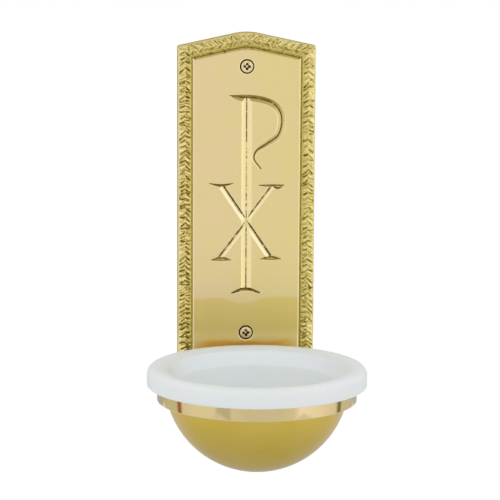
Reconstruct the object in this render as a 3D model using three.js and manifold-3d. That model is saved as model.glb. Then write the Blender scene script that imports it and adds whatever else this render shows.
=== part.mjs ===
// Wall-hung holy water stoup: a cast brass back plate with an incised Chi-Rho, a spun brass bowl
// held in a turned rim band on a cast bracket, and a white liner that lifts out of the bowl.
// Millimetres, +Z up. The wall is the plane Y = 0 and the room lies towards -Y.
// X = 0 and Z = 0 are midway between the two wall screws.
import * as THREE from 'three';
import { mergeGeometries, mergeVertices } from 'three/addons/utils/BufferGeometryUtils.js';
import Module from 'manifold-3d';

// Wall screws, which set out the height of the plate
const WALL_SCREW_SPACING = 188;
const WALL_SCREW_SHANK = 4.6;
const WALL_SCREW_HEAD = 9.8;
const WALL_SCREW_CONE = 2.6;
const WALL_SCREW_DOME = 0.8;
const WALL_SCREW_CROWN = 6.8;
const WALL_SCREW_REACH = 27;
const WALL_SCREW_TIP = 5;
const RECESS_LENGTH = 5.4;
const RECESS_WIDTH = 1.1;
const RECESS_DEPTH = 1.7;

// Back plate
const PLATE_WIDTH = 96.6;
const TOP_MARGIN = 14.4;
const BOTTOM_MARGIN = 55;
const GABLE_RISE = 10.4;
const APEX_ROUND = 40;
const PLATE_DRAFT = 0.5;
const PANEL_FACE = 5.5;
const BACK_RECESS = 2;
const BACK_LAND = 8;
const BACK_RIB = 10;
const SCREW_BOSS = 18;

// Chased border of the plate
const BORDER_WIDTH = 9.8;
const BORDER_EDGE = 5.6;
const BORDER_RIM = 1.1;
const CREST_INSET = 5.3;
const CREST_RISE = 2.5;
const GROOVE_WIDTH = 0.5;
const GROOVE_DEPTH = 0.8;
const CHEVRON_PITCH = 3.4;
const CHEVRON_LEAD = 2.6;
const CHEVRON_DEPTH = 0.9;

// Incised figure: depth of a V cut for each millimetre of its half width
const CUT_SLOPE = 0.5;
const STEM_TOP = 72;
const STEM_FOOT = -62;
const STEM_WIDTH = 7.2;
const CHI_THICK = 5.6;
const CHI_THIN = 3.8;
const SERIF_WIDTH = 2.4;

// Bowl, rim band and bracket
const BOWL_RADIUS = 62;
const BOWL_WALL = 1.5;
const BOWL_FLANGE = 3.4;
const FLANGE_THICKNESS = 1.3;
const BOWL_CENTRE_DROP = 9.1;
const BAND_STEP = 5;
const BAND_WALL = 2.5;
const BAND_LEDGE = 2.5;
const BAND_SHOW = 10;
const BAND_EDGE = 0.6;
const BRACKET_WIDTH = 40;
const BRACKET_HEIGHT = 23;
const BRACKET_PAD = 4;
const BRACKET_CORNER = 5;
const BRACKET_BODY_WIDTH = 30;
const BRACKET_LIP_CLEARANCE = 2;
const BRACKET_WRAP = 18;
const BRACKET_SWEEP = 5;

// Liner
const LIP_BELOW_SCREW = 6.2;
const LIP_WALL_GAP = 9;
const LIP_OVERHANG = 6.8;
const LIP_HEIGHT = 12.6;
const LIP_ROUND = 5.6;
const LIP_DIP = 2.2;
const CREST_SETBACK = 4.4;
const LINER_WALL = 2.4;
const LINER_CLEARANCE = 0.8;
const COLLAR_WIDTH = 7;
const COLLAR_DROP = 9.3;
const LINER_DEPTH = 44;
const LINER_TAPER = 9;
const FLOOR_ROUND = 16;
const EDGE_ROUND = 2.4;

// Machine screws and washers that hold the bracket to the plate and the bowl to the bracket
const BRACKET_SCREW_SPACING = 20;
const BRACKET_SCREW_SHANK = 4.8;
const BRACKET_SCREW_HEAD = 8.4;
const BRACKET_SCREW_HEAD_HEIGHT = 2;
const BRACKET_SCREW_RECESS = 5;
const BRACKET_SCREW_GRIP = 11;
const LOCK_WASHER = 9.2;
const LOCK_WASHER_THICKNESS = 0.7;
const BOWL_SCREW_TILT = THREE.MathUtils.degToRad(16);
const BOWL_SCREW_SPREAD = THREE.MathUtils.degToRad(8.5);
const BOWL_SCREW_SHANK = 4;
const BOWL_SCREW_HEAD = 7.6;
const BOWL_SCREW_HEAD_HEIGHT = 2.2;
const BOWL_SCREW_RECESS = 4.6;
const BOWL_SCREW_GRIP = 9;
const BOWL_WASHER = 9.4;
const BOWL_WASHER_THICKNESS = 0.8;

// Clearances: between seated faces, round a screw in its hole, and past a face that a cutter opens
const SEAT_GAP = 0.3;
const HOLE_GAP = 0.3;
const OVERSHOOT = 1;

// Fineness of the round forms
const ROUND_STEPS = 44;
const SCREW_STEPS = 16;
const ARC_STEPS = 9;
const CORNER_STEPS = 3;
const GABLE_STEPS = 6;
const WELD_DISTANCE = 1e-4;

// Heights and radii that follow from the sizes above
const SCREW_HEIGHT = WALL_SCREW_SPACING / 2;
const SHOULDER_Z = SCREW_HEIGHT + TOP_MARGIN;
const PLATE_FOOT_Z = -SCREW_HEIGHT - BOTTOM_MARGIN;
const GABLE_SLOPE = Math.atan2(GABLE_RISE, PLATE_WIDTH / 2);
const LIP_TOP_Z = -SCREW_HEIGHT - LIP_BELOW_SCREW;
const BAND_RADIUS = BOWL_RADIUS + BAND_STEP;
const BAND_INNER = BAND_RADIUS - BAND_WALL;
const BAND_FOOT_Z = LIP_TOP_Z - LIP_HEIGHT - BAND_SHOW;
const LIP_RADIUS = BAND_RADIUS + LIP_OVERHANG;
const LIP_EDGE = BAND_INNER - LINER_CLEARANCE - LINER_WALL;
const LIP_CREST = LIP_EDGE + CREST_SETBACK;
const LIP_LEAN = Math.atan2(LIP_DIP, CREST_SETBACK);
const LIP_UNDERSIDE_DROP = (LIP_CREST - BAND_INNER) * Math.tan(LIP_LEAN) + LINER_WALL / Math.cos(LIP_LEAN);
const BAND_TOP_Z = LIP_TOP_Z - LIP_UNDERSIDE_DROP - SEAT_GAP;
const BOWL_Y = -(PANEL_FACE + LIP_WALL_GAP + LIP_RADIUS);
const BOWL_Z = LIP_TOP_Z - BOWL_CENTRE_DROP;
const FLANGE_Z = BAND_FOOT_Z + BAND_LEDGE + SEAT_GAP;
const BRACKET_TOP_Z = LIP_TOP_Z - LIP_HEIGHT - BRACKET_LIP_CLEARANCE;
const BRACKET_MID_Z = BRACKET_TOP_Z - BRACKET_HEIGHT / 2;
const BRACKET_FOOT_Z = BRACKET_TOP_Z - BRACKET_HEIGHT;
const BRACKET_BACK = PANEL_FACE + SEAT_GAP;
const WASHER_POCKET = BRACKET_SCREW_HEAD_HEIGHT + LOCK_WASHER_THICKNESS + 3 * SEAT_GAP;

// Finishes
const CAST_BRASS = { color: 0xd9c27c, roughness: 0.36, metalness: 1 };
const SATIN_BRASS = { color: 0xc4a44e, roughness: 0.42, metalness: 1 };
const POLISHED_BRASS = { color: 0xdcc88e, roughness: 0.16, metalness: 1 };
const SCREW_BRASS = { color: 0xcdb79a, roughness: 0.4, metalness: 1 };
const ZINC = { color: 0xb8b9b6, roughness: 0.4, metalness: 1 };
const MILK_WHITE = { color: 0xe4e8e8, roughness: 0.3, metalness: 0 };

const wasm = await Module();
wasm.setup();

// Joins the shared corners of a geometry and drops triangles that shrink to a line.
function weld(geometry) {
  const bare = geometry.clone();
  bare.deleteAttribute('normal');
  bare.deleteAttribute('uv');
  const merged = mergeVertices(bare, WELD_DISTANCE);
  const corners = [];
  for (let i = 0; i < merged.index.count; i += 3) {
    const [a, b, c] = [merged.index.getX(i), merged.index.getX(i + 1), merged.index.getX(i + 2)];
    if (a !== b && b !== c && c !== a) corners.push(a, b, c);
  }
  merged.setIndex(corners);
  return merged;
}

function solid(geometry) {
  const closed = weld(geometry);
  return new wasm.Manifold(new wasm.Mesh({
    numProp: 3,
    vertProperties: Float32Array.from(closed.attributes.position.array),
    triVerts: Uint32Array.from(closed.index.array),
  }));
}

function geometryOf(body) {
  const { vertProperties, triVerts } = body.getMesh();
  const geometry = new THREE.BufferGeometry();
  geometry.setAttribute('position', new THREE.BufferAttribute(vertProperties, 3));
  geometry.setIndex(new THREE.BufferAttribute(triVerts, 1));
  return geometry;
}

// Cuts every geometry of a list out of a body.
function cut(body, cutters) {
  return cutters.reduce((rest, cutter) => rest.subtract(solid(cutter)), body);
}

function piece(name, geometry, finish) {
  const shape = weld(geometry);
  shape.computeVertexNormals();
  const mesh = new THREE.Mesh(shape, new THREE.MeshStandardMaterial(finish));
  mesh.name = name;
  return mesh;
}

// Turns a profile of radius and distance about the Y axis, as for screws square to the wall.
function turn(profile, steps = SCREW_STEPS) {
  return new THREE.LatheGeometry(profile.map(([r, y]) => new THREE.Vector2(r, y)), steps);
}

// Turns a profile of radius and height about an upright axis.
function revolve(profile) {
  return turn(profile, ROUND_STEPS).rotateX(Math.PI / 2);
}

function rod(radius, from, to) {
  return turn([[0, from], [radius, from], [radius, to], [0, to]]);
}

function triangles(points, corners) {
  return new THREE.BufferGeometry().setFromPoints(corners.map((i) => points[i]));
}

// Skins the way between two closed rings, stepping on along whichever ring lags behind.
function zip(near, far) {
  const share = (ring, i) => (i < ring.length ? ring[i].share ?? i : Infinity);
  const corners = [];
  let i = 0;
  let j = 0;
  while (i < near.length || j < far.length) {
    const nearSteps = i < near.length && (j === far.length || share(near, i + 1) <= share(far, j + 1));
    const next = nearSteps ? (i + 1) % near.length : near.length + ((j + 1) % far.length);
    corners.push(i % near.length, next, near.length + (j % far.length));
    if (nearSteps) i += 1;
    else j += 1;
  }
  return triangles([...near, ...far], corners);
}

// Closes a convex ring with a fan of triangles.
function cap(ring) {
  return triangles(ring, ring.slice(2).flatMap((_, i) => [0, i + 1, i + 2]));
}

// A closed body through rings that run anticlockwise seen from the last one.
function loft(rings) {
  const skins = rings.slice(1).map((ring, i) => zip(rings[i], ring));
  return mergeGeometries([cap([...rings[0]].reverse()), ...skins, cap(rings.at(-1))]);
}

// The five runs of the plate's outline, drawn in by an inset, anticlockwise from the front.
function outlineRuns(inset) {
  const side = PLATE_WIDTH / 2 - inset;
  const foot = PLATE_FOOT_Z + inset;
  const shoulder = SHOULDER_Z + inset * Math.tan(GABLE_SLOPE) - inset / Math.cos(GABLE_SLOPE);
  const round = APEX_ROUND - inset;
  const centre = shoulder + side * Math.tan(GABLE_SLOPE) - round / Math.cos(GABLE_SLOPE);
  const quarter = Math.PI / 2;
  const tangent = new THREE.Vector2(round * Math.sin(GABLE_SLOPE), centre + round * Math.cos(GABLE_SLOPE));
  const base = new THREE.Path().moveTo(-side, foot).lineTo(side, foot);
  const right = new THREE.Path().moveTo(side, foot).lineTo(side, shoulder);
  const rise = new THREE.Path().moveTo(side, shoulder).lineTo(tangent.x, tangent.y);
  rise.absarc(0, centre, round, quarter - GABLE_SLOPE, quarter, false);
  const fall = new THREE.Path().absarc(0, centre, round, quarter, quarter + GABLE_SLOPE, false);
  fall.lineTo(-side, shoulder);
  const left = new THREE.Path().moveTo(-side, shoulder).lineTo(-side, foot);
  return [base, right, rise, fall, left];
}

// A point of a ring, with its place along the runs.
function ringPoint(flat, depth, share) {
  return Object.assign(new THREE.Vector3(flat.x, -depth, flat.y), { share });
}

// A ring of the plate's outline: straight runs by their ends, gabled ones in steps.
function plainRing(inset, depth) {
  return outlineRuns(inset).flatMap((run, side) => {
    const steps = run.curves.length > 1 ? GABLE_STEPS : 1;
    return Array.from({ length: steps }, (_, j) => {
      const share = j / steps;
      return ringPoint(run.getPoint(share), depth, side + share);
    });
  });
}

// A ring of the chased border: every second station is a stroke, and the strokes lean towards the apex.
function chasedRing(inset, depth, relief = 0, lead = 0) {
  const upwards = [1, 1, 1, -1, -1];
  const full = outlineRuns(0);
  return outlineRuns(inset).flatMap((run, side) => {
    const length = full[side].getLength();
    const stations = 2 * Math.max(2, Math.round(length / CHEVRON_PITCH));
    return Array.from({ length: stations }, (_, j) => {
      const share = j / stations;
      const room = Math.min(share, 1 - share) * length / 2;
      const point = run.getPoint(share + upwards[side] * Math.min(lead, room) / length);
      return ringPoint(point, depth - (j % 2 ? 0 : relief), side + share);
    });
  });
}

// The casting before it is cut: a drafted edge with a narrow rim, the chased ridge, a groove and the panel.
function plateBlank() {
  const grooveFloor = PANEL_FACE - GROOVE_DEPTH;
  return loft([
    plainRing(0, 0),
    plainRing(PLATE_DRAFT, BORDER_EDGE),
    chasedRing(BORDER_RIM, BORDER_EDGE),
    chasedRing(CREST_INSET, PANEL_FACE + CREST_RISE, CHEVRON_DEPTH, CHEVRON_LEAD),
    chasedRing(BORDER_WIDTH - GROOVE_DEPTH - GROOVE_WIDTH, grooveFloor),
    plainRing(BORDER_WIDTH - GROOVE_DEPTH, grooveFloor),
    plainRing(BORDER_WIDTH, PANEL_FACE),
  ]);
}

// A V cut along a smooth line through points of x, z and width.
function groove(points, steps) {
  const line = new THREE.CatmullRomCurve3(points.map(([x, z, width]) => new THREE.Vector3(x, z, width)));
  const lift = OVERSHOOT * CUT_SLOPE;
  const sections = Array.from({ length: steps + 1 }, (_, i) => {
    const at = line.getPoint(i / steps);
    const along = line.getTangent(i / steps);
    const across = new THREE.Vector2(-along.y, along.x).normalize();
    const half = at.z / 2;
    const top = half + lift / CUT_SLOPE;
    return [
      new THREE.Vector3(at.x, -(PANEL_FACE - half * CUT_SLOPE), at.y),
      new THREE.Vector3(at.x + across.x * top, -(PANEL_FACE + lift), at.y + across.y * top),
      new THREE.Vector3(at.x - across.x * top, -(PANEL_FACE + lift), at.y - across.y * top),
    ];
  });
  return loft(sections);
}

function serif(x, z, half, droop) {
  return groove([[x - half, z - droop, 0], [x, z, SERIF_WIDTH], [x + half, z - droop, 0]], 2 * CORNER_STEPS);
}

// The Chi-Rho: a long stem, the hooked loop of the Rho, and a Chi of one thick and one thin arm.
function figure() {
  const loop = [
    [-12.2, 74.8, 0], [-5.2, 73.2, 3.4], [5.2, 72.6, 4.6], [16.4, 69.8, 5], [23, 64.2, 6],
    [25, 56, 6.8], [22.4, 46.5, 6], [14.4, 40.6, 4.6], [7.3, 35.8, 3.2], [5.4, 30, 2.4], [10.2, 22.9, 0],
  ];
  return [
    groove([[0, STEM_TOP, STEM_WIDTH], [0, STEM_FOOT, STEM_WIDTH]], 1),
    groove(loop, loop.length * 2),
    groove([[-16.4, 10.6, CHI_THICK], [17.6, -40, CHI_THICK]], 1),
    groove([[18.6, 10.6, CHI_THIN], [-19, -39.4, CHI_THIN]], 1),
    serif(-18.1, 11.2, 8.5, -1.6),
    serif(18.3, 11.1, 8.8, -0.2),
    serif(-17.2, -40, 7.1, 2.1),
    serif(17.1, -40.2, 7.6, 1.6),
    serif(0, STEM_FOOT, 10, 3),
  ];
}

function backHollow() {
  const hollow = solid(loft([plainRing(BACK_LAND, -OVERSHOOT), plainRing(BACK_LAND, BACK_RECESS)]));
  const rib = new THREE.BoxGeometry(PLATE_WIDTH, 2 * BACK_RECESS + OVERSHOOT, BACK_RIB);
  const padSize = [BRACKET_WIDTH, 2 * BACK_RECESS + OVERSHOOT, BRACKET_HEIGHT];
  const pad = new THREE.BoxGeometry(...padSize).translate(0, 0, BRACKET_MID_Z);
  const bosses = [SCREW_HEIGHT, -SCREW_HEIGHT].map((z) => (
    rod(SCREW_BOSS / 2, -BACK_RECESS - OVERSHOOT, OVERSHOOT + BACK_RECESS).translate(0, 0, z)
  ));
  return cut(hollow, [rib, pad, ...bosses]);
}

// A countersunk hole for a wall screw.
function wallScrewHole() {
  const bore = WALL_SCREW_SHANK / 2 + HOLE_GAP;
  const mouth = WALL_SCREW_HEAD / 2 + HOLE_GAP;
  const neck = -PANEL_FACE + WALL_SCREW_CONE;
  return turn([
    [0, -PANEL_FACE - OVERSHOOT], [mouth, -PANEL_FACE - OVERSHOOT], [mouth, -PANEL_FACE],
    [bore, neck], [bore, OVERSHOOT], [0, OVERSHOOT],
  ]);
}

// A pocketed hole for a bracket screw, open to the wall side.
function bracketScrewHole() {
  const bore = BRACKET_SCREW_SHANK / 2 + HOLE_GAP;
  const pocket = LOCK_WASHER / 2 + HOLE_GAP;
  return turn([
    [0, -PANEL_FACE - OVERSHOOT], [bore, -PANEL_FACE - OVERSHOOT], [bore, -WASHER_POCKET],
    [pocket, -WASHER_POCKET], [pocket, OVERSHOOT], [0, OVERSHOOT],
  ]);
}

const SIDES = [['left', -1], ['right', 1]];
const bracketScrewPlaces = SIDES.map(([, sign]) => [sign * BRACKET_SCREW_SPACING / 2, 0, BRACKET_MID_Z]);

function backPlate() {
  const blank = solid(plateBlank()).subtract(backHollow());
  const wallHoles = [SCREW_HEIGHT, -SCREW_HEIGHT].map((z) => wallScrewHole().translate(0, 0, z));
  const bracketHoles = bracketScrewPlaces.map((place) => bracketScrewHole().translate(...place));
  return geometryOf(cut(blank, [...figure(), ...wallHoles, ...bracketHoles]));
}

// Two crossed slots for a driver, sunk into a crown that faces down the Y axis.
function crossRecess(length, depth, crown) {
  return [0, Math.PI / 2].map((angle) => (
    new THREE.BoxGeometry(length, 2 * depth, RECESS_WIDTH).rotateY(angle).translate(0, crown, 0)
  ));
}

// An oval-headed wood screw with a cross recess, its head towards the room.
function wallScrew() {
  const crown = -PANEL_FACE - WALL_SCREW_DOME;
  const neck = -PANEL_FACE + WALL_SCREW_CONE + SEAT_GAP;
  const head = WALL_SCREW_HEAD / 2;
  const shank = WALL_SCREW_SHANK / 2;
  const dome = new THREE.QuadraticBezierCurve(
    new THREE.Vector2(0, crown),
    new THREE.Vector2(WALL_SCREW_CROWN / 2, crown),
    new THREE.Vector2(head, -PANEL_FACE),
  );
  const profile = [
    ...dome.getPoints(CORNER_STEPS).map((p) => [p.x, p.y]),
    [shank, neck], [shank, WALL_SCREW_REACH], [0, WALL_SCREW_REACH + WALL_SCREW_TIP],
  ];
  return geometryOf(cut(solid(turn(profile)), crossRecess(RECESS_LENGTH, RECESS_DEPTH, crown)));
}

// A pan-headed machine screw along Y, with its head before the seat and its shank after it.
function panScrew({ head, headHeight, recess, shank, seat, end }) {
  const crown = seat - headHeight;
  const dome = new THREE.QuadraticBezierCurve(
    new THREE.Vector2(0, crown), new THREE.Vector2(head / 2, crown), new THREE.Vector2(head / 2, seat),
  );
  const profile = [
    ...dome.getPoints(CORNER_STEPS).map((p) => [p.x, p.y]),
    [shank / 2, seat], [shank / 2, end], [0, end],
  ];
  return geometryOf(cut(solid(turn(profile)), crossRecess(recess, headHeight / 2, crown)));
}

function washer(outside, bore, from, to) {
  return turn([[bore, from], [outside, from], [outside, to], [bore, to], [bore, from]]);
}

// A bracket screw points to the room, so it is made head first and turned about.
function bracketScrew() {
  const seat = WASHER_POCKET - LOCK_WASHER_THICKNESS - 2 * SEAT_GAP;
  return panScrew({
    head: BRACKET_SCREW_HEAD,
    headHeight: BRACKET_SCREW_HEAD_HEIGHT,
    recess: BRACKET_SCREW_RECESS,
    shank: BRACKET_SCREW_SHANK,
    seat,
    end: BRACKET_BACK + BRACKET_SCREW_GRIP,
  }).rotateX(Math.PI);
}

function lockWasher() {
  const face = -WASHER_POCKET + SEAT_GAP;
  return washer(LOCK_WASHER / 2, BRACKET_SCREW_SHANK / 2 + HOLE_GAP, face, face + LOCK_WASHER_THICKNESS);
}

// Radius of a ball about the bowl's centre at a height of the part.
function ballRadius(radius, z) {
  return Math.sqrt(radius ** 2 - (BOWL_Z - z) ** 2);
}

// Profile points of a ball about the bowl's centre, from its lowest point up to a height.
function ballArc(radius, top) {
  const reach = Math.acos((BOWL_Z - top) / radius);
  return Array.from({ length: ARC_STEPS + 1 }, (_, i) => {
    const angle = reach * i / ARC_STEPS;
    return [radius * Math.sin(angle), BOWL_Z - radius * Math.cos(angle)];
  });
}

// Places a screw of the bowl: its axis passes through the bowl's centre and leaves backwards and down.
function bowlScrewPlace(sign) {
  const turned = new THREE.Euler(-BOWL_SCREW_TILT, 0, -sign * BOWL_SCREW_SPREAD, 'ZXY');
  const centre = new THREE.Vector3(0, BOWL_Y, BOWL_Z);
  return new THREE.Matrix4().makeRotationFromEuler(turned).setPosition(centre);
}

// The facets of a ball lie inside its true radius by this share.
const FACET_SHARE = Math.cos(Math.PI / ROUND_STEPS) * Math.cos(Math.PI / (4 * ARC_STEPS));

// The washer's rim meets the hollow of the bowl first.
const BOWL_INNER = BOWL_RADIUS - BOWL_WALL;
const BOWL_WASHER_SEAT = Math.sqrt((BOWL_INNER * FACET_SHARE) ** 2 - (BOWL_WASHER / 2) ** 2) - SEAT_GAP;
const BOWL_SCREW_SEAT = BOWL_WASHER_SEAT - BOWL_WASHER_THICKNESS - SEAT_GAP;
const BOWL_SCREW_END = BOWL_RADIUS + SEAT_GAP + BOWL_SCREW_GRIP;

function bowlScrew() {
  return panScrew({
    head: BOWL_SCREW_HEAD,
    headHeight: BOWL_SCREW_HEAD_HEIGHT,
    recess: BOWL_SCREW_RECESS,
    shank: BOWL_SCREW_SHANK,
    seat: BOWL_SCREW_SEAT,
    end: BOWL_SCREW_END,
  });
}

function bowlWasher() {
  const bore = BOWL_SCREW_SHANK / 2 + HOLE_GAP;
  return washer(BOWL_WASHER / 2, bore, BOWL_WASHER_SEAT - BOWL_WASHER_THICKNESS, BOWL_WASHER_SEAT);
}

function bowlScrewHoles() {
  const bore = BOWL_SCREW_SHANK / 2 + HOLE_GAP;
  return SIDES.map(([, sign]) => (
    rod(bore, BOWL_SCREW_SEAT, BOWL_SCREW_END + HOLE_GAP).applyMatrix4(bowlScrewPlace(sign))
  ));
}

// Spun bowl: a hemisphere whose turned-out flange hangs on the ledge of the band.
function bowlShell() {
  const flangeTop = FLANGE_Z + FLANGE_THICKNESS;
  const rim = ballRadius(BOWL_RADIUS, FLANGE_Z) + BOWL_FLANGE;
  const profile = [
    ...ballArc(BOWL_RADIUS, FLANGE_Z),
    [rim, FLANGE_Z], [rim, flangeTop],
    ...ballArc(BOWL_INNER, flangeTop).reverse(),
  ];
  const spun = solid(revolve(profile).translate(0, BOWL_Y, 0));
  return geometryOf(cut(spun, bowlScrewHoles()));
}

// Turned band: a ring with a ledge below, broken edges and a bore that lets the bowl through.
function rimBand() {
  const bore = ballRadius(BOWL_RADIUS, FLANGE_Z) + SEAT_GAP;
  return revolve([
    [bore, BAND_FOOT_Z], [BAND_RADIUS - BAND_EDGE, BAND_FOOT_Z], [BAND_RADIUS, BAND_FOOT_Z + BAND_EDGE],
    [BAND_RADIUS, BAND_TOP_Z - BAND_EDGE], [BAND_RADIUS - BAND_EDGE, BAND_TOP_Z], [BAND_INNER, BAND_TOP_Z],
    [BAND_INNER, BAND_FOOT_Z + BAND_LEDGE], [bore, BAND_FOOT_Z + BAND_LEDGE], [bore, BAND_FOOT_Z],
  ]).translate(0, BOWL_Y, 0);
}

// The space that the bowl and its band fill, grown by the seat gap, up to a height.
function bowlSpace(top) {
  const under = BAND_FOOT_Z - SEAT_GAP;
  const wide = BAND_RADIUS + SEAT_GAP;
  const ball = ballArc((BOWL_RADIUS + SEAT_GAP) / FACET_SHARE, under);
  return revolve([...ball, [wide, under], [wide, top], [0, top]]).translate(0, BOWL_Y, 0);
}

// Cast bracket: a pad on the plate and a swept arm whose saddle takes the band and the side of the bowl.
function bowlBracket() {
  const half = BRACKET_WIDTH / 2 - BRACKET_CORNER;
  const rise = BRACKET_HEIGHT / 2 - BRACKET_CORNER;
  const quarter = Math.PI / 2;
  const padShape = new THREE.Shape();
  [[half, rise], [-half, rise], [-half, -rise], [half, -rise]].forEach(([x, z], i) => {
    padShape.absarc(x, z, BRACKET_CORNER, i * quarter, (i + 1) * quarter, false);
  });
  const pad = new THREE.ExtrudeGeometry(padShape, {
    depth: BRACKET_PAD, bevelEnabled: false, curveSegments: CORNER_STEPS,
  });
  pad.rotateX(quarter).translate(0, -BRACKET_BACK, BRACKET_MID_Z);

  const root = BRACKET_BACK + BRACKET_PAD / 2;
  const reach = -BOWL_Y - BOWL_RADIUS + BRACKET_WRAP;
  const armFoot = BRACKET_FOOT_Z + BRACKET_CORNER / 2;
  const armShape = new THREE.Shape().moveTo(root, armFoot);
  armShape.quadraticCurveTo((root + reach) / 2, armFoot + BRACKET_SWEEP, reach, armFoot);
  armShape.lineTo(reach, BRACKET_TOP_Z - BRACKET_CORNER / 2).lineTo(root, BRACKET_TOP_Z - BRACKET_CORNER / 2);
  const arm = new THREE.ExtrudeGeometry(armShape, {
    depth: BRACKET_BODY_WIDTH, bevelEnabled: false, curveSegments: 2 * CORNER_STEPS,
  });
  const sideways = new THREE.Matrix4().makeBasis(
    new THREE.Vector3(0, -1, 0), new THREE.Vector3(0, 0, 1), new THREE.Vector3(-1, 0, 0),
  );
  arm.applyMatrix4(sideways).translate(BRACKET_BODY_WIDTH / 2, 0, 0);

  const screwEnd = BRACKET_BACK + BRACKET_SCREW_GRIP + HOLE_GAP;
  const screwHoles = bracketScrewPlaces.map((place) => (
    rod(BRACKET_SCREW_SHANK / 2 + HOLE_GAP, -screwEnd, 0).translate(...place)
  ));
  const casting = solid(pad).add(solid(arm));
  return geometryOf(cut(casting, [bowlSpace(LIP_TOP_Z), ...screwHoles, ...bowlScrewHoles()]));
}

// Rounds the inner corners of an open line of radius, height and cut-back.
function softened(corners) {
  const at = corners.map(([r, z]) => new THREE.Vector2(r, z));
  const path = new THREE.Path().moveTo(at[0].x, at[0].y);
  for (let i = 1; i < at.length - 1; i += 1) {
    const back = corners[i][2];
    const into = at[i - 1].clone().sub(at[i]).setLength(back).add(at[i]);
    const out = at[i + 1].clone().sub(at[i]).setLength(back).add(at[i]);
    path.lineTo(into.x, into.y).quadraticCurveTo(at[i].x, at[i].y, out.x, out.y);
  }
  path.lineTo(at.at(-1).x, at.at(-1).y);
  return path.getPoints(CORNER_STEPS);
}

// Gives an open line a wall on its right-hand side, with a round bead at its far end.
function thickened(line, wall) {
  const normals = line.map((_, i) => {
    const before = line[Math.max(i - 1, 0)];
    const after = line[Math.min(i + 1, line.length - 1)];
    return new THREE.Vector2(after.y - before.y, before.x - after.x).normalize();
  });
  const skin = line.map((p, i) => p.clone().addScaledVector(normals[i], wall));
  const end = line.at(-1).clone().add(skin.at(-1)).divideScalar(2);
  const onward = new THREE.Vector2(-normals.at(-1).y, normals.at(-1).x);
  const bead = Array.from({ length: CORNER_STEPS - 1 }, (_, i) => {
    const angle = Math.PI * (i + 1) / CORNER_STEPS;
    const across = normals.at(-1).clone().multiplyScalar(Math.cos(angle) * wall / 2);
    return end.clone().add(across).addScaledVector(onward, Math.sin(angle) * wall / 2);
  });
  return [...skin, ...bead, ...[...line].reverse()].map((p) => [Math.max(p.x, 0), p.y]);
}

// Moulded liner: a flat-floored bowl, a sloping collar, and a broad lip rolled over the band.
function liner() {
  const step = LIP_EDGE - COLLAR_WIDTH;
  const edgeZ = LIP_TOP_Z - LIP_DIP;
  const floorZ = LIP_TOP_Z - LINER_DEPTH;
  const inside = softened([
    [0, floorZ],
    [step - LINER_TAPER, floorZ, FLOOR_ROUND],
    [step, edgeZ - COLLAR_DROP, EDGE_ROUND],
    [LIP_EDGE, edgeZ, EDGE_ROUND],
    [LIP_CREST, LIP_TOP_Z, EDGE_ROUND],
    [LIP_RADIUS, LIP_TOP_Z, LIP_ROUND],
    [LIP_RADIUS, LIP_TOP_Z - LIP_HEIGHT + LINER_WALL / 2],
  ]);
  return revolve(thickened(inside, LINER_WALL)).translate(0, BOWL_Y, 0);
}

const stoup = new THREE.Group();
stoup.add(piece('back_plate', backPlate(), CAST_BRASS));
[['upper', SCREW_HEIGHT], ['lower', -SCREW_HEIGHT]].forEach(([where, z]) => {
  const screw = piece(`wall_screw_${where}`, wallScrew(), SCREW_BRASS);
  screw.position.z = z;
  stoup.add(screw);
});
stoup.add(piece('bowl_bracket', bowlBracket(), CAST_BRASS));
SIDES.forEach(([where], i) => {
  const screw = piece(`bracket_screw_${where}`, bracketScrew(), ZINC);
  const lock = piece(`bracket_lock_washer_${where}`, lockWasher(), ZINC);
  screw.position.set(...bracketScrewPlaces[i]);
  lock.position.set(...bracketScrewPlaces[i]);
  stoup.add(screw, lock);
});
stoup.add(piece('rim_band', rimBand(), POLISHED_BRASS));
stoup.add(piece('bowl_shell', bowlShell(), SATIN_BRASS));
SIDES.forEach(([where, sign]) => {
  const screw = piece(`bowl_screw_${where}`, bowlScrew(), SCREW_BRASS);
  const flat = piece(`bowl_washer_${where}`, bowlWasher(), SCREW_BRASS);
  screw.applyMatrix4(bowlScrewPlace(sign));
  flat.applyMatrix4(bowlScrewPlace(sign));
  stoup.add(screw, flat);
});
stoup.add(piece('liner', liner(), MILK_WHITE));

export default stoup;
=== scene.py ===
"""Looks of a wall-hung holy water stoup: chased plate, spun bowl in a polished band, and white liner."""

import logging
import math
from contextlib import contextmanager
from dataclasses import dataclass
from enum import Enum
from itertools import product
from typing import Iterator, Sequence

import bmesh
import bpy
import numpy as np
from mathutils import Euler, Matrix, Vector


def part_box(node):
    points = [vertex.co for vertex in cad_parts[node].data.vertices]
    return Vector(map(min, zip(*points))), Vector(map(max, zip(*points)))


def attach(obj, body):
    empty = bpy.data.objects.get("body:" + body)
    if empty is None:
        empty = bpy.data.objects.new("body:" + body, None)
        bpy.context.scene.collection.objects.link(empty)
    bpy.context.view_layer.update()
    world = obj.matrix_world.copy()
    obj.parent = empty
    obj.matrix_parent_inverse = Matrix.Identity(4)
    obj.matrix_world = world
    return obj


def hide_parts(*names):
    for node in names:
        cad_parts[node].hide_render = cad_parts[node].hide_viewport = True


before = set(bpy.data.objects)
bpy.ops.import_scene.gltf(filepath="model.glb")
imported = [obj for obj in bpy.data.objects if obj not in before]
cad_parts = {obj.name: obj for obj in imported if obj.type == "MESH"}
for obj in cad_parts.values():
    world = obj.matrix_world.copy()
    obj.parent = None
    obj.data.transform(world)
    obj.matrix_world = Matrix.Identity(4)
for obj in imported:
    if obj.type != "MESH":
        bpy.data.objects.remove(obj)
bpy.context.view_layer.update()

LOG = logging.getLogger("stoup")
MM = 0.001
TURN = 2 * math.pi

Piece = bpy.types.Object
Array = np.ndarray
Colour = tuple[float, float, float, float]
Range = tuple[float, float]
Triple = tuple[float, float, float]
Line = list[tuple[float, float]]
Rows = tuple[tuple[float, ...], ...]

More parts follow.
